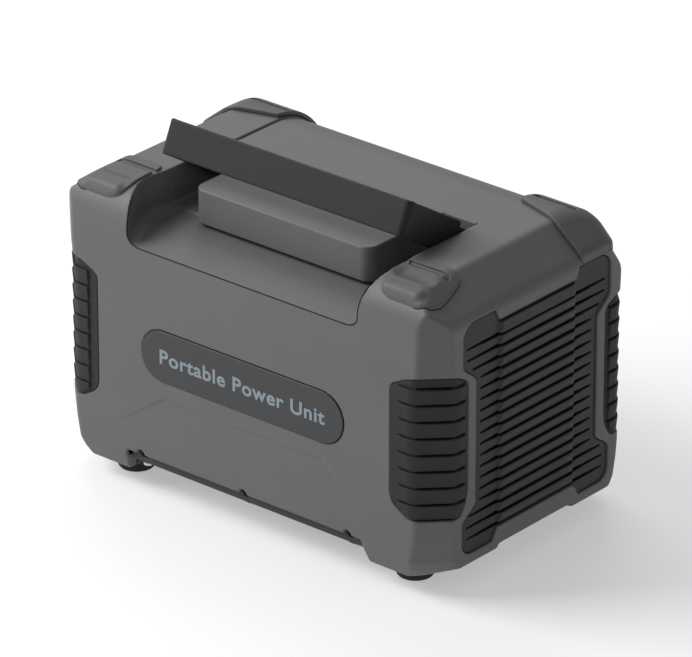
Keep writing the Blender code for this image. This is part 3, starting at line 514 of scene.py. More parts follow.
def grip_pad(ax, ay, z):
    """A rubber pad with a tread of blocks that lean in towards their lower edge."""
    corner = pad_corner(ax, ay)
    region = pad_region(ax, ay, z)
    base = both(both(corner + 0.3, region, 1.0), PAD_SEAT + GAP - corner)
    phase = (PAD_FIRST_GROOVE - z) / PAD_PITCH
    row = np.clip(np.floor(phase), 0, PAD_GROOVES - 1)
    within = np.clip(phase - row, 0, 1)
    rise = TREAD_RISE - TREAD_LEAN * within
    middle = PAD_FIRST_GROOVE - PAD_PITCH * (row + 0.5)
    sides = both(PAD_START_X + 7.0 - ax, PAD_END_Y + 3.2 - ay)
    run = both(sides, slab(z, middle, (PAD_PITCH - TREAD_GAP) / 2), 0.4)
    tread = both(both(corner - rise, run, 0.7), PAD_SEAT + 1.0 - corner)
    tread = both(tread, region + 1.8, 1.0)
    line = PAD_FIRST_GROOVE - PAD_PITCH * np.clip(np.round(phase), 0, PAD_GROOVES)
    sides = both(PAD_START_X + 6.0 - ax, PAD_END_Y + 2.4 - ay)
    groove = both(both(slab(z, line, 0.42), -1.0 - corner), sides)
    return either(less(base, groove, 0.2), tread, 0.2)


def bumper_plan(ax, ay, front):
    """Outline of a bumper seen from above."""
    corners = FRONT_BUMPER if front else REAR_BUMPER
    return convex(ax, ay, corners, 5.0 if front else 1.5)


def rod(x, y, z, middle, half, radius):
    """A bar with round ends that lies along the case."""
    past = np.maximum(np.abs(x - middle[0]) - half, 0.0)
    return np.sqrt((y - middle[1]) ** 2 + (z - middle[2]) ** 2 + past ** 2) - radius


def bumper(ax, y, z, front):
    """A block moulded over a top corner. The front ones have a hollow behind a rounded rib over the edge."""
    body = form(ax, y, z)
    plan = bumper_plan(ax, -y if front else y, front)
    if front:
        guard = both(both(body - FRONT_BUMPER_RISE, plan, 1.0), FRONT_BUMPER_LOW - z)
        guard = less(guard, rod(ax, y, z, *BUMPER_HOLLOW), 2.0)
        guard = both(either(guard, rod(ax, y, z, *BUMPER_RIB), 1.2), FRONT_BUMPER_SEAT - body)
    else:
        guard = both(both(body - BUMPER_RISE, plan, 0.9), 166.0 - z, 2.0)
        guard = both(guard, GAP - body)
    rise, middle = BUMPER_GROOVES[0 if front else 1]
    groove = both(pill(ax - middle[0], np.abs(y) - middle[1], 16.0, 2.6), rise - 2.4 - body, 0.8)
    return less(guard, groove, 0.5)


def screw(x, y, z):
    """A pan-headed screw with a cross recess in its underside, measured from the seat of its head."""
    across = np.hypot(x, y)
    head = both(both(across - 3.2, -2.0 - z, 0.8), z)
    arms = [both(slab(x, 0, half_x), slab(y, 0, half_y)) for half_x, half_y in ((0.45, 1.9), (1.9, 0.45))]
    cross = both(np.minimum(*arms), z + 0.9)
    shank = both(across - 1.6 + 0.25 * np.abs((z % 1.2) / 0.6 - 1.0), slab(z, 3.1, 3.1))
    return either(less(head, cross, 0.1), shank)


def screw_notch(ax, ay, z):
    """The notches in the bottom edge of both long sides, in front of the base screws."""
    return both(np.hypot(np.abs(ax - SCREW_X) - SCREW_X, z - 27.5) - 3.0, 87.0 - ay)


def base_tray(x, y, z):
    """The underside: a plate, a block behind each foot, a skirt along both sides and a tab at each end."""
    ax, ay = np.abs(x), np.abs(y)
    top = BELLY + 4.0
    plate = both(both(tray_outline(ax, ay), z - top, 0.5), BASE - z, 1.5)
    plate = less(plate, either(both(ax - 93.5, z - BELLY), both(ay - 42.0, z - BELLY), 5.0), 1.5)
    tab = both(both(ax - 146.0, ay - 34.5, 2.0), between(z, BELLY, top))
    skirt = both(slab(ay, 85.5, 4.5), between(z, BELLY, SKIRT_TOP), 0.8)
    plate = either(either(plate, tab, 0.5), both(skirt, ax - 92.6, 1.0), 0.5)
    line = np.abs((ax + 15.0) % 30.0 - 15.0) - 1.2
    flutes = both(both(line, ay - 70.0), both(ax - 85.0, slab(z, BELLY, 1.2)))
    plate = less(plate, flutes, 0.5)
    hole = np.hypot(np.abs(ax - SCREW_X) - SCREW_X, ay - SCREW_Y) - 2.0
    return less(less(plate, hole), screw_notch(ax, ay, z), 0.4)


# Handle ------------

def arm_plan(s, t):
    """One arm of the handle, along and across it from the pivot: full width, then a smaller hub."""
    (neck, half), (_, hub) = ARM_NECK
    wide = both(slab(t, 0, half), neck - 1.5 - s, 2.0)
    heel = both(both(-half - t, t - hub + 1.0, 1.0), -1.5 - s, 3.5)
    waist = both(both(t - hub, -t), both(-s, s - neck - 4.0))
    disc = np.hypot(s, t) - HUB_RADIUS
    return either(either(either(wide, heel, 0.5), waist, 0.5), disc, 0.8)


def handle(x, y, z):
    """A strap bent into a U: a flat bar across, and an arm at each end down to its pin."""
    ax = np.abs(x)
    low, high, hub = Vector(BAR_LOW), Vector(BAR_HIGH), Vector(PIVOT)
    along = (high - low).normalized()
    middle = (low + high) / 2
    u = (y - middle.x) * along.x + (z - middle.y) * along.y
    v = (y - middle.x) * -along.y + (z - middle.y) * along.x
    half = (high - low).length / 2
    reach = (middle - hub).normalized()
    s = (y - hub.x) * reach.x + (z - hub.y) * reach.y
    t = (y - hub.x) * reach.y - (z - hub.y) * reach.x
    face = both(ax - HANDLE_HALF, v - STRAP / 2, 5.0)
    inner = both(ax - HANDLE_HALF + STRAP, v + STRAP / 2, 1.6)
    strip = both(face, -inner, 1.2)
    sides = both(np.abs(u) - half, slab(v, 0, STRAP / 2 + 0.2))
    outline = either(sides, both(arm_plan(s, t), v))
    whole = both(strip, outline, 1.2)
    return less(whole, np.hypot(y - hub.x, z - hub.y) - PIN_RADIUS - 0.1, 0.3)


# Socket side ------------

def opening(x, z, node, radius, shrink=0.0):
    """Outline of the part of a socket piece that stands in the panel."""
    low, high = extent(node)
    half_x, half_z = (high[0] - low[0]) / 2 - shrink, (high[2] - low[2]) / 2 - shrink
    return both(slab(x, (low[0] + high[0]) / 2, half_x), slab(z, (low[2] + high[2]) / 2, half_z),
                min(radius, half_x, half_z))


def socket_panel(x, y, z):
    """The panel of the socket side: a rim round each opening and a fine line round the mains outlets."""
    low, high = extent("socket_panel")
    face, back = high[1], low[1]
    plate = both(slab(x, 0, high[0]), between(z, low[2], high[2]), 1.7)
    panel = both(plate, y - face, 0.4)
    for node, radius, shrink, rim in PANEL_PIECES:
        edge = opening(x, z, node, radius, shrink)
        if rim > 0:
            ring = both(slab(edge, 0.6 + rim / 2, rim / 2 + 0.6), y - face - 0.7, 0.4)
            panel = either(panel, ring, 0.3)
    zones = both(slab(x, -57.0, 46.0), slab(z, 77.5, 31.5), 4.0)
    panel = less(panel, both(slab(zones, 0, 0.5), face - 0.6 - y), 0.1)
    for node, radius, shrink, rim in PANEL_PIECES:
        panel = less(panel, opening(x, z, node, radius, shrink) - GAP, 0.15)
    return both(panel, back - y)


def ac_outlet(x, y, z, node):
    """A three-pin outlet in a shallow dish, with blind slots."""
    low, high = extent(node)
    cx, cz, face = (low[0] + high[0]) / 2, (low[2] + high[2]) / 2, high[1]
    body = both(both(opening(x, z, node, 4.0), y - face, 0.9), low[1] - y, 1.0)
    dish = both(both(slab(x, cx, 18.5), slab(z, cz, 18.5), 9.0), face - 0.7 - y, 0.3)
    slots = both(slab(x, cx, 2.1), slab(z, cz + 8.5, 4.0), 0.3)
    slots = np.minimum(slots, both(slab(np.abs(x - cx), 10.9, 3.5), slab(z, cz - 9.0, 2.1), 0.3))
    depth = face - 2.5 - 0.35 * np.clip(z - cz, 0.0, 3.0)
    return less(less(body, dish, 0.4), both(slots, depth - y), 0.3)


def usb_block(x, y, z):
    """A block of four USB ports, each with its tongue."""
    low, high = extent("usb_port_block")
    cx, cz, face = (low[0] + high[0]) / 2, (low[2] + high[2]) / 2, high[1]
    body = both(both(opening(x, z, "usb_port_block", 3.0), y - face, 0.6), low[1] - y, 1.0)
    for k, (half_x, half_z, corner) in enumerate(USB_PORTS):
        row = cz + 13.5 - 9.0 * k
        port = both(slab(x, cx, half_x), slab(z, row, half_z), corner)
        tongue = both(slab(x, cx, half_x - 1.2), slab(z, row + 0.4, 0.95 if k < 2 else 0.35), 0.2)
        body = less(body, both(both(port, -both(tongue, y - face + 1.6, 0.1)), face - 9.0 - y), 0.25)
    return body


def cap_pin(y, z):
    """How far a point is from the surface of the pin that the cap hangs by."""
    low, high = extent("car_socket_cap")
    return np.hypot(y - (low[1] + high[1]) / 2, z - high[2] + 1.4) - 0.9


def car_cap(x, y, z):
    """The rubber cap of the 12 V socket, with a ring groove, grip lines and the ear it hangs by."""
    low, high = extent("car_socket_cap")
    cx, cz = (low[0] + high[0]) / 2, low[2] + 15.0
    across = np.hypot(x - cx, z - cz)
    cap = both(both(across - 15.0, y - high[1], 0.8), low[1] - y, 0.3)
    cap = less(cap, both(slab(across, 11.0, 0.8), high[1] - 0.6 - y), 0.3)
    lines = both(slab((z - cz + 8.0) % 2.4, 1.2, 0.5), both(slab(x, cx, 4.0), slab(z, cz - 4.0, 3.6)))
    cap = less(cap, both(lines, high[1] - 0.5 - y), 0.2)
    ear = both(both(slab(x, cx, 5.0), between(z, cz + 12.0, high[2]), 1.0), between(y, low[1], high[1]), 0.7)
    return less(either(cap, ear, 0.8), cap_pin(y, z))


def hinge_bracket(x, y, z):
    """The bracket above the car socket: a back, and two lugs that hold the cap's pin."""
    low, high = extent("cap_hinge_bracket")
    cx = (low[0] + high[0]) / 2
    back = both(slab(x, cx, 8.0), slab(z, high[2] - 0.8, 0.8), 0.4)
    lugs = both(slab(np.abs(x - cx), 6.7, 1.3), between(z, low[2], high[2]), 0.4)
    bracket = both(np.minimum(back, lugs), between(y, low[1], high[1]), 0.4)
    return less(bracket, cap_pin(y, z))


def display_window(x, y, z):
    """The flat window over the display."""
    low, high = extent("display_window")
    return both(both(opening(x, z, "display_window", 3.0), y - high[1], 0.25), low[1] - y)


def lamp_lens(x, y, z):
    """A long lens with fine prisms across it."""
    low, high = extent("lamp_lens")
    prisms = 0.35 * np.abs(((x - low[0]) % 3.0) / 1.5 - 1.0)
    inside = both(slab(x, (low[0] + high[0]) / 2, 62.5), slab(z, (low[2] + high[2]) / 2, 3.0), 2.5)
    drop = np.where(inside < -0.3, prisms, 0.0)
    return both(both(opening(x, z, "lamp_lens", 4.0), y - high[1] + drop, 0.3), low[1] - y, 0.3)


def button_icon(a, b, name):
    """A plain sign on the face of a button."""
    across = np.hypot(a, b)
    if name == "main_power_button":
        gap = both(slab(a, 0, 0.9), -b)
        ring = less(slab(across, 2.5, 0.35), gap)
        return np.minimum(ring, both(slab(a, 0, 0.35), slab(b, 2.0, 1.3)))
    if name == "lamp_button":
        rays = both(slab((np.arctan2(b, a) * 4 / pi + 0.5) % 1.0 - 0.5, 0, 0.12), slab(across, 3.0, 0.5))
        return np.minimum(across - 1.4, rays)
    if name == "dc_output_button":
        dashes = both(slab(b, -0.8, 0.33), slab((a + 6.6) % 2.2, 1.1, 0.7))
        return both(np.minimum(slab(b, 0.8, 0.33), dashes), slab(a, 0, 3.3))
    return both(np.abs(b - 1.1 * np.sin(a * 1.05)) - 0.42, slab(a, 0, 3.0))


def button(x, y, z, name):
    """A push button: a domed cap with its sign, a collar behind the panel and a stem."""
    low, high = extent(name)
    centre = (low + high) / 2
    stop = low[1] + 5.5
    a, b = centre[0] - x, z - centre[2]
    across = np.hypot(a, b)
    dome = y - high[1] + 0.4 * (across / BUTTON_RADIUS) ** 2
    cap = both(both(across - BUTTON_RADIUS, dome, 0.7), stop - 0.5 - y)
    cap = less(cap, both(button_icon(a, b, name), -0.3 - dome), 0.08)
    collar = both(across - BUTTON_RADIUS - 1.5, slab(y, stop - 0.6, 0.6), 0.2)
    stem = both(across - 4.0, slab(y, low[1] + 2.5, 2.5), 0.3)
    return np.minimum(np.minimum(cap, collar), stem)


# Joint lines ------------

def rim_path(first, second, points):
    """Points moved onto the line where two fields are both zero."""
    for _ in range(12):
        values = np.stack([first(*points.T), second(*points.T)], 1)
        slopes = np.stack([slope_of(first, points), slope_of(second, points)], 1)
        for k in range(len(points)):
            points[k] -= np.clip(np.linalg.pinv(slopes[k], rcond=0.05) @ values[k], -3.0, 3.0)
    return points


def traced(turns, pieces):
    """Points along a path of straight runs, each run cut into the same number of pieces."""
    turns = np.array(turns, float)
    steps = np.arange(pieces)[:, None] / pieces
    return np.concatenate([a + (b - a) * steps for a, b in zip(turns, turns[1:])] + [turns[-1:]])


def tube(name, points, radius, sides=6):
    """A thin closed-ended cord through points."""
    ahead = np.gradient(points, axis=0)
    ahead /= np.linalg.norm(ahead, axis=1)[:, None]
    side = np.cross(ahead, (0.0, 0.31, 0.95))
    side /= np.linalg.norm(side, axis=1)[:, None]
    other = np.cross(ahead, side)
    turns = [tau * k / sides for k in range(sides)]
    rings = np.stack([points + radius * (cos(turn) * side + sin(turn) * other) for turn in turns], 1)
    mesh = bmesh.new()
    made = [[mesh.verts.new(corner * MM) for corner in ring] for ring in rings]
    for ring, after in zip(made, made[1:]):
        for k in range(sides):
            mesh.faces.new([ring[k], ring[(k + 1) % sides], after[(k + 1) % sides], after[k]])
    mesh.faces.new(made[0])
    mesh.faces.new(made[-1])
    bmesh.ops.recalc_face_normals(mesh, faces=mesh.faces)
    return placed(name, mesh)


def placed(name, mesh):
    """A smooth-shaded object from a finished bmesh."""
    data = bpy.data.meshes.new(name)
    mesh.to_mesh(data)
    mesh.free()
    data.shade_smooth()
    return added(name, data)


# Materials ------------

def preset(node, **values):
    """Set inputs of a shader node, each named as Blender names it with _ for a space."""
    for name, value in values.items():
        node.inputs[name.replace("_", " ")].default_value = value


def moulded(name, colour, roughness=0.5, grain=0.35, grain_size=0.7, mottle=0.05, wear=0.05, specular=0.35,
            metallic=0.0, stretch=(1.0, 1.0, 1.0)):
    """Moulded plastic, rubber or metal: fine grain, faint mottling, edges rubbed a little paler."""
    made = bpy.data.materials.new(name)
    made.use_nodes = True
    tree = made.node_tree
    nodes, links = tree.nodes, tree.links
    shader = nodes["Principled BSDF"]
    preset(shader, Specular_IOR_Level=specular, Metallic=metallic)
    place = nodes.new("ShaderNodeTexCoord")
    scaled = nodes.new("ShaderNodeMapping")
    preset(scaled, Scale=stretch)
    links.new(place.outputs["Object"], scaled.inputs["Vector"])

    def noise(size_mm, detail, rough=0.5):
        """Noise of a given size, in the mesh's own coordinates."""
        node = nodes.new("ShaderNodeTexNoise")
        preset(node, Scale=1.0 / (size_mm * MM), Detail=detail, Roughness=rough)
        links.new(scaled.outputs["Vector"], node.inputs["Vector"])
        return node

    def ranged(source, low, high, to_low, to_high):
        """A value moved from one range to another."""
        node = nodes.new("ShaderNodeMapRange")
        preset(node, From_Min=low, From_Max=high, To_Min=to_low, To_Max=to_high)
        links.new(source, node.inputs["Value"])
        return node.outputs["Result"]

    def blended(factor, first, second):
        """Two colours mixed by a factor."""
        node = nodes.new("ShaderNodeMix")
        node.data_type = "RGBA"
        links.new(factor, node.inputs["Factor"])
        for socket, value in (("A", first), ("B", second)):
            target = [item for item in node.inputs if item.name == socket and item.type == "RGBA"][0]
            if hasattr(value, "is_output"):
                links.new(value, target)
            else:
                target.default_value = (*value, 1.0)
        return [item for item in node.outputs if item.type == "RGBA"][0]

    cloud = noise(38.0, 3.0)
    fine = noise(grain_size, 2.0, 0.6)
    dark = tuple(c * (1 - mottle) for c in colour)
    pale = tuple(min(1.0, c * (1 + mottle)) for c in colour)
    base = blended(ranged(cloud.outputs["Fac"], 0.3, 0.7, 0.0, 1.0), dark, pale)
    speckle = blended(ranged(fine.outputs["Fac"], 0.35, 0.65, 0.0, 0.16), base,
                      tuple(min(1.0, c * 1.25) for c in colour))
    bevel = nodes.new("ShaderNodeBevel")
    bevel.samples = 4
    preset(bevel, Radius=0.7 * MM)
    normal = nodes.new("ShaderNodeNewGeometry")
    turn = nodes.new("ShaderNodeVectorMath")
    turn.operation = "DOT_PRODUCT"
    links.new(bevel.outputs["Normal"], turn.inputs[0])
    links.new(normal.outputs["Normal"], turn.inputs[1])
    edge = ranged(turn.outputs["Value"], 0.98, 0.80, 0.0, wear)
    worn = blended(edge, speckle, tuple(min(1.0, c * 1.9 + 0.03) for c in colour))
    links.new(worn, shader.inputs["Base Color"])
    sheen = ranged(cloud.outputs["Fac"], 0.3, 0.7, roughness - 0.05, roughness + 0.05)
    links.new(sheen, shader.inputs["Roughness"])
    bump = nodes.new("ShaderNodeBump")
    preset(bump, Strength=grain, Distance=0.05 * MM)
    links.new(fine.outputs["Fac"], bump.inputs["Height"])
    links.new(bump.outputs["Normal"], shader.inputs["Normal"])
    return made


CASE = moulded("case_plastic", (0.105, 0.105, 0.107), 0.52)
# The bumpers' plastic is the case plastic made darker: painted shade standing in for the dimmer light on
# their sloping faces.
GUARD_PAINTED_SHADE = moulded("case_plastic_painted_shade", (0.083, 0.083, 0.085), 0.54)
VENT = moulded("vent_plastic", (0.014, 0.014, 0.0145), 0.47, specular=0.3)
HANDLE = moulded("handle_plastic", (0.014, 0.014, 0.0145), 0.48, specular=0.22, wear=0.02)
RUBBER = moulded("grip_rubber", (0.018, 0.018, 0.019), 0.7, grain=0.5)
FOOT = moulded("foot_rubber", (0.014, 0.014, 0.015), 0.72, grain=0.5)
LABEL = moulded("label_film", (0.034, 0.035, 0.037), 0.42, grain=0.15)
INK = moulded("label_ink", (0.20, 0.245, 0.27), 0.5, grain=0.1)
SEAM = moulded("joint_line", (0.008, 0.008, 0.008), 0.9, specular=0.1)
TRAY = moulded("tray_plastic", (0.035, 0.035, 0.036), 0.6)
PANEL = moulded("panel_plastic", (0.030, 0.030, 0.031), 0.48)
SOCKET = moulded("socket_plastic", (0.012, 0.012, 0.012), 0.38)
BUTTON = moulded("button_plastic", (0.16, 0.16, 0.165), 0.45, grain=0.2)
GLASS = moulded("display_glass", (0.006, 0.007, 0.009), 0.1, grain=0.02, specular=0.5)
LENS = moulded("lamp_lens", (0.72, 0.72, 0.69), 0.22, grain=0.05, specular=0.5)
STEEL = moulded("steel", (0.52, 0.52, 0.51), 0.36, grain=0.2, metallic=1.0, wear=0.2)
ALUMINIUM = moulded("aluminium", (0.62, 0.63, 0.64), 0.42, grain=0.3, metallic=1.0, stretch=(1.0, 0.08, 1.0))
BOARD = moulded("circuit_board", (0.012, 0.085, 0.035), 0.42, grain_size=2.2, grain=0.4, mottle=0.2)
CELL = moulded("cell_can", (0.03, 0.11, 0.24), 0.38, grain=0.1)
CORE = moulded("transformer_core", (0.09, 0.065, 0.04), 0.5, grain_size=1.4, stretch=(1.0, 1.0, 0.1))
FAN = moulded("fan_plastic", (0.016, 0.016, 0.017), 0.5)


def dress(piece, finish, slot, body, *nodes):
    """Give a new piece its material, tie it to its body and let it stand for CAD nodes."""
    piece.data.materials.clear()
    piece.data.materials.append(finish)
    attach(piece, body)
    if nodes:
        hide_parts(*nodes)


def coat(node, finish):
    """Give a CAD node that is kept as it is its finished material."""
    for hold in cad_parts[node].material_slots:
        hold.material = finish


def fitted(name, node, shape, finish, slot, margin, step, keep=1.0, body="case"):
    """A solid modelled in the box of the CAD node that it replaces."""
    low, high = extent(node)
    dress(solid(name, shape, low - margin, high + margin, step, keep), finish, slot, body, node)


def turned(name, node, profile, axis, sides=40):
    """A turned piece about the middle of a CAD node, from a chain of (radius, place along the axis)."""
    low, high = extent(node)
    middle = np.delete((low + high) / 2, axis)
    mesh = bmesh.new()
    rings = []
    for radius, along in profile:
        count = 1 if radius == 0 else sides
        turns = [tau * k / sides for k in range(count)]
        spots = [np.insert(middle + (radius * cos(turn), radius * sin(turn)), axis, along) for turn in turns]
        rings.append([mesh.verts.new(spot * MM) for spot in spots])
    for k, ring in enumerate(rings):
        other = rings[(k + 1) % len(rings)]
        if len(ring) == 1 and len(other) == 1:
            continue
        for j in range(sides):
            after = (j + 1) % sides
            corners = [ring[j % len(ring)], ring[after % len(ring)]]
            corners += [other[after % len(other)], other[j % len(other)]]
            mesh.faces.new(list(dict.fromkeys(corners)))
    bmesh.ops.recalc_face_normals(mesh, faces=mesh.faces)
    made = placed(name, mesh)
    made.data.set_sharp_from_angle(angle=radians(32))
    return made


# Pieces ------------

def make_case():
    """The housing and the centre panel let into its top."""
    span = (HALF_LENGTH + 2, HALF_WIDTH + 2)
    case = solid("case_shell", housing, (-span[0], -span[1], BASE - 2), (*span, TOP + 2), 1.3, 0.35)
    dress(case, CASE, "case_plastic", "case", "housing")
    rear = extent("top_cover")[1][1]
    cover = solid("top_panel", top_cover, (-COVER_HALF - 2, ISLAND_FRONT - 2, COVER_REAR_Z - 2),
                  (COVER_HALF + 2, rear + 2, TOP + 1), 1.0, 0.4)
    dress(cover, CASE, "case_plastic", "case", "top_cover")


def make_vents():
    """The louvred panel in each end."""
    for side, name in ((-1, "left"), (1, "right")):
        shape = lambda x, y, z: vent_panel(x * side, y, z)
        near, far = sorted((side * (HALF_LENGTH - 6), side * (HALF_LENGTH + 2)))
        vent = solid(f"{name}_vent", shape, (near, -VENT_HALF - 2, 23), (far, VENT_HALF + 2, 177), 0.7, 0.5)
        dress(vent, VENT, "vent_plastic", "case", f"{name}_vent_panel")


def make_corners():
    """A grip pad on each upright corner and a bumper on each top corner."""
    for (sx, end), (sy, face) in product(((-1, "left"), (1, "right")), ((-1, "front"), (1, "rear"))):
        shape = lambda x, y, z: grip_pad(x * sx, y * sy, z)
        xs = sorted((sx * (PAD_START_X - 2), sx * (HALF_LENGTH + 3)))
        ys = sorted((sy * (PAD_END_Y - 2), sy * (HALF_WIDTH + 3)))
        low, high = zip(xs, ys, (PAD_BOTTOM - 2, PAD_TOP + 2))
        pad = solid(f"{end}_{face}_grip", shape, low, high, 0.42, 0.45)
        dress(pad, RUBBER, "grip_rubber", "case", f"{end}_{face}_grip_pad")
        shape = lambda x, y, z: bumper(x * sx, y, z, sy < 0)
        low, high = zip(sorted((sx * 92, sx * 155)), sorted((sy * 35, sy * 99)), (160, TOP + 5))
        guard = solid(f"{end}_{face}_guard", shape, low, high, 0.65, 0.5)
        # The bumpers take the darkened case plastic, a painted shade.
        dress(guard, GUARD_PAINTED_SHADE, "case_plastic", "case", f"{end}_{face}_bumper")


def make_bumper_joints():
    """The dark joint line where each front bumper meets the outside of the case."""
    walk = traced([(124.0, 50.0), (129.0, 50.0), (134.0, 54.0), (139.5, 78.0), (138.0, 84.0), (135.0, 88.5),
                   (127.0, 89.0)], 9)[:-1]
    for side, name in ((-1, "left"), (1, "right")):
        guesses = np.stack([side * walk[:, 0], -walk[:, 1], np.full(len(walk), 190.0)], 1)
        points = rim_path(form, lambda x, y, z: bumper_plan(np.abs(x), -y, True), guesses)
        dress(tube(f"{name}_guard_joint", points, RIM_RADIUS), SEAM, "case_plastic", "case")


def make_handle():
    """The carry handle."""
    low, high = (-HANDLE_HALF - 2, -64, 176), (HANDLE_HALF + 2, 12, 236)
    bar = solid("carry_handle", handle, low, high, 0.8, 0.5)
    dress(bar, HANDLE, "handle_plastic", "handle", "handle")


def make_label():
    """The label plate and its generic lettering, which stands a little proud of it."""
    low, high = extent("label_plate")
    middle = (low[2] + high[2]) / 2
    half_x, half_z = high[0], (high[2] - low[2]) / 2
    front = low[1] + 0.35

    def plate(x, y, z):
        """The label's film, in the outline of a pill."""
        outline = pill(x, z - middle, half_x, half_z)
        return both(both(outline, front - y, 0.3), y + HALF_WIDTH - LABEL_SEAT + GAP)

    made = solid("label", plate, (-half_x - 1, front - 1, middle - half_z - 1),
                 (half_x + 1, -HALF_WIDTH + LABEL_SEAT + 1, middle + half_z + 1), 0.45, 0.3)
    dress(made, LABEL, "label_film", "case", "label_plate")
    curve = bpy.data.curves.new("lettering", "FONT")
    curve.body = "Portable Power Unit"
    curve.align_x = "CENTER"
    curve.align_y = "CENTER"
    curve.size = LETTER_SIZE * MM
    curve.offset = LETTER_BOLD * MM
    curve.extrude = 0.1 * MM
    curve.space_character = 1.08
    text = added("lettering_curve", curve)
    bpy.context.view_layer.update()
    graph = bpy.context.evaluated_depsgraph_get()
    data = bpy.data.meshes.new_from_object(text.evaluated_get(graph))
    bpy.data.objects.remove(text)
    ink = added("lettering", data)
    xs = [v.co.x for v in data.vertices]
    squeeze = 2 * LETTER_SPAN * half_x * MM / (max(xs) - min(xs))
    data.transform(Matrix.Diagonal((squeeze, 1.0, 1.0, 1.0)))
    ys = [v.co.y for v in data.vertices]
    data.transform(Matrix.Translation((0, -(max(ys) + min(ys)) / 2, 0)))
    data.transform(Matrix.Rotation(radians(90), 4, "X"))
    data.transform(Matrix.Translation((0, (front - 0.05) * MM, middle * MM)))
    dress(ink, INK, "label_film", "case")


def make_rim():
    """The dark joint line round the front of the handle recess."""
    bend = [(-95.0, -84.0, 192.0), (-91.5, -90.0, 186.0), (-90.0, -94.0, 180.0), (-90.0, -94.0, 172.0),
            (-87.0, -94.0, 168.0), (-80.0, -94.0, 166.0)]
    guesses = bend + [(float(x), -94.0, 166.0) for x in range(-75, 76, 5)]
    guesses += [(-x, y, z) for x, y, z in bend[::-1]]
    line = tube("recess_joint", rim_path(form, recess, traced(guesses, 3)), RIM_RADIUS)
    dress(line, SEAM, "case_plastic", "case")


def make_underside():
    """The base tray, its screws and the feet."""
    fitted("underside_tray", "base_tray", base_tray, TRAY, "tray_plastic", 1.5, 1.1, 0.4)
    for number in range(1, 7):
        low, high = extent(f"base_screw_{number}")
        centre = (low + high) / 2
        seat = low[2] + 2.0
        shape = lambda x, y, z: screw(x - centre[0], y - centre[1], z - seat)
        fitted(f"tray_screw_{number}", f"base_screw_{number}", shape, STEEL, "steel", 0.6, 0.35)
    for end, face in product(("left", "right"), ("front", "rear")):
        node = f"{end}_{face}_foot"
        low, high = extent(node)
        radius, top = (high[0] - low[0]) / 2, high[2]
        rim = [(-5.0, 1.2), (-4.2, 0.4), (-3.6, 0.0), (-1.2, 0.0), (0.0, 0.5), (0.9, 1.6), (1.2, 3.0),
               (1.2, top - 0.6), (0.6, top)]
        profile = [(0, 1.2), *((radius + out, z) for out, z in rim), (0, top)]
        dress(turned(f"{end}_{face}_rubber_foot", node, profile, 2, 56), FOOT, "foot_rubber", "case", node)


def make_sockets():
    """Everything in the socket panel but its buttons."""
    low, high = extent("socket_panel")
    panel = solid("socket_fascia", socket_panel, low - 1, high + 1.6, 0.75, 0.35)
    dress(panel, PANEL, "panel_plastic", "case", "socket_panel")
    for number in (1, 2):
        node = f"ac_outlet_{number}"
        shape = lambda x, y, z: ac_outlet(x, y, z, node)
        fitted(f"mains_outlet_{number}", node, shape, SOCKET, "socket_plastic", 0.8, 0.6, 0.4)
    fitted("usb_ports", "usb_port_block", usb_block, SOCKET, "socket_plastic", 0.8, 0.42, 0.4)
    for node in JACKS:
        low, high = extent(node)
        face, radius = high[1], (high[0] - low[0]) / 2
        lip = [(radius, -0.7), (radius - 0.6, 0.0), (radius - 1.4, 0.0), (radius - 1.8, -0.5), (4.2, -0.5),
               (3.4, -1.2), (3.2, -9.0), (1.1, -9.0), (1.1, -2.1), (0.7, -1.6), (0, -1.5)]
        profile = [(0, low[1]), (radius, low[1]), *((out, face + along) for out, along in lip)]
        dress(turned(f"{node}_shell", node, profile, 1), SOCKET, "socket_plastic", "case", node)
    low, high = extent("car_socket")
    face, radius = high[1], (high[0] - low[0]) / 2
    deep = face - 38.0
    profile = [(0, deep - 6), (radius, deep - 6), (radius, face - 0.8), (radius - 0.7, face), (11.4, face),
               (10.6, face - 1.0), (10.6, deep), (3.0, deep), (2.5, deep + 2.2), (1.6, deep + 3.0),
               (0, deep + 3.0)]
    barrel = turned("car_socket_barrel", "car_socket", profile, 1, 56)
    dress(barrel, SOCKET, "socket_plastic", "case", "car_socket")
    fitted("car_cap", "car_socket_cap", car_cap, RUBBER, "grip_rubber", 0.6, 0.35, 0.4, "car_socket_cap")
    fitted("cap_bracket", "cap_hinge_bracket", hinge_bracket, STEEL, "steel", 0.5, 0.3, 0.5)
    low, high = extent("cap_hinge_pin")
    start, end = low[0], high[0]
    profile = [(0, start), (0.6, start), (0.8, start + 0.2), (0.8, end - 0.2), (0.6, end), (0, end)]
    dress(turned("cap_pin", "cap_hinge_pin", profile, 0, 24), STEEL, "steel", "case", "cap_hinge_pin")
    fitted("display_glass", "display_window", display_window, GLASS, "display_glass", 0.6, 0.4, 0.3)
    fitted("work_lamp", "lamp_lens", lamp_lens, LENS, "lamp_lens", 0.6, 0.4, 0.5)


def make_buttons():
    """The four push buttons, each on its own body."""
    for name in BUTTONS:
        shape = lambda x, y, z: button(x, y, z, name)
        fitted(f"{name}_cap", name, shape, BUTTON, "button_plastic", 0.6, 0.3, 0.4, name)


def make_pins():
    """The headed pins that the handle turns on."""
    for end, side in (("left", -1), ("right", 1)):
        node = f"{end}_handle_pin"
        low, high = extent(node)
        start, finish = (low[0], high[0]) if side > 0 else (high[0], low[0])
        head = [(0, 0.9), (1.6, 0.9), (2.0, 0.0), (4.3, 0.0), (5.0, 0.7), (5.0, 2.5), (2.9, 2.5)]
        profile = [(radius, start + along * side) for radius, along in head]
        profile += [(2.9, finish - 0.6 * side), (2.3, finish), (0, finish)]
        dress(turned(f"{end}_pivot_pin", node, profile, 0), STEEL, "steel", "case", node)


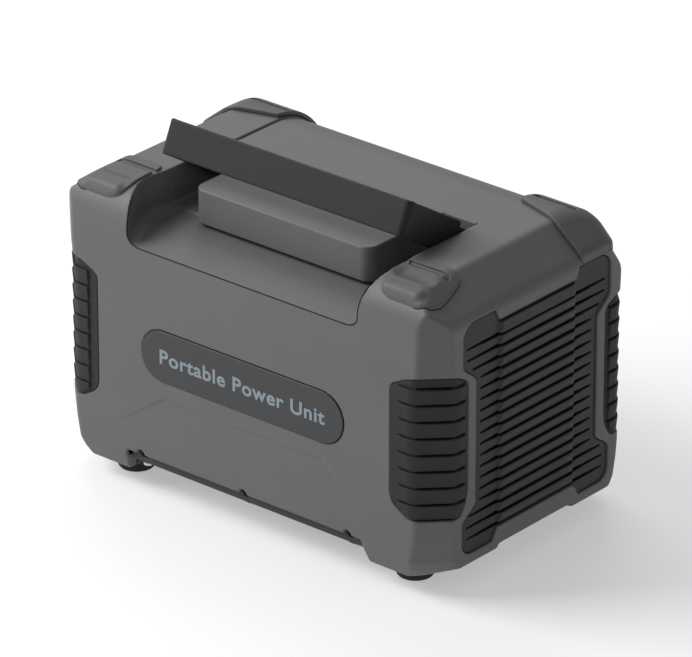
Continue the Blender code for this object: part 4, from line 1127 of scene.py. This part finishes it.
make_case()
make_vents()
make_corners()
make_bumper_joints()
make_handle()
make_label()
make_rim()
make_underside()
make_sockets()
make_buttons()
make_pins()
for finish, names in (
        (TRAY, ("cell_tray", "cell_clamp_frame")), (CELL, ("cell_row_1", "cell_row_2")),
        (BOARD, ("battery_board", "inverter_board", "charger_board", "control_board", "led_board")),
        (ALUMINIUM, ("inverter_heat_sink", "charger_heat_sink")), (CORE, ("inverter_transformer",)),
        (FAN, ("left_fan_frame", "right_fan_frame", "left_fan_rotor", "right_fan_rotor"))):
    for node in names:
        coat(node, finish)


# Stage ------------

AZIMUTH = radians(40.25)
ELEVATION = radians(25.58)
TARGET = Vector((0.0020, -0.00017, 0.1039))
DISTANCE = 4.0764
LENS = 351.3


def make_camera():
    """The camera, turned and raised about a point in the case."""
    back = Vector((sin(AZIMUTH) * cos(ELEVATION), -cos(AZIMUTH) * cos(ELEVATION), sin(ELEVATION)))
    data = bpy.data.cameras.new("camera")
    data.sensor_width = 36.0
    data.lens = LENS
    data.clip_end = 50.0
    camera = added("camera", data)
    camera.location = TARGET + back * DISTANCE
    camera.rotation_euler = (-back).to_track_quat("-Z", "Y").to_euler()
    bpy.context.scene.camera = camera


def area_light(name, place, size, power):
    """A square soft light that points at the case."""
    data = bpy.data.lights.new(name, "AREA")
    data.shape = "RECTANGLE"
    data.size = data.size_y = size
    data.energy = power
    lamp = added(name, data)
    lamp.location = place
    lamp.rotation_euler = (Vector((0.0, 0.0, 0.1)) - Vector(place)).to_track_quat("-Z", "Y").to_euler()


def make_stage():
    """A pale floor, an even surround and two soft lights."""
    mesh = bmesh.new()
    bmesh.ops.create_grid(mesh, x_segments=1, y_segments=1, size=6.0)
    data = bpy.data.meshes.new("floor")
    mesh.to_mesh(data)
    mesh.free()
    floor = added("floor", data)
    paper = bpy.data.materials.new("floor_paper")
    paper.use_nodes = True
    preset(paper.node_tree.nodes["Principled BSDF"], Base_Color=(0.55, 0.55, 0.55, 1.0), Roughness=0.9,
           Specular_IOR_Level=0.1, Emission_Color=(1.0, 1.0, 1.0, 1.0), Emission_Strength=0.40)
    data.materials.append(paper)
    world = bpy.data.worlds.new("studio")
    world.use_nodes = True
    preset(world.node_tree.nodes["Background"], Color=(1.0, 1.0, 1.0, 1.0), Strength=0.35)
    bpy.context.scene.world = world
    area_light("key", (-1.69, -1.17, 1.69), 1.5, 74.0)
    area_light("overhead", (-0.9, 0.9, 1.7), 1.4, 14.5)
    bpy.context.scene.view_settings.view_transform = "Standard"


make_camera()
make_stage()
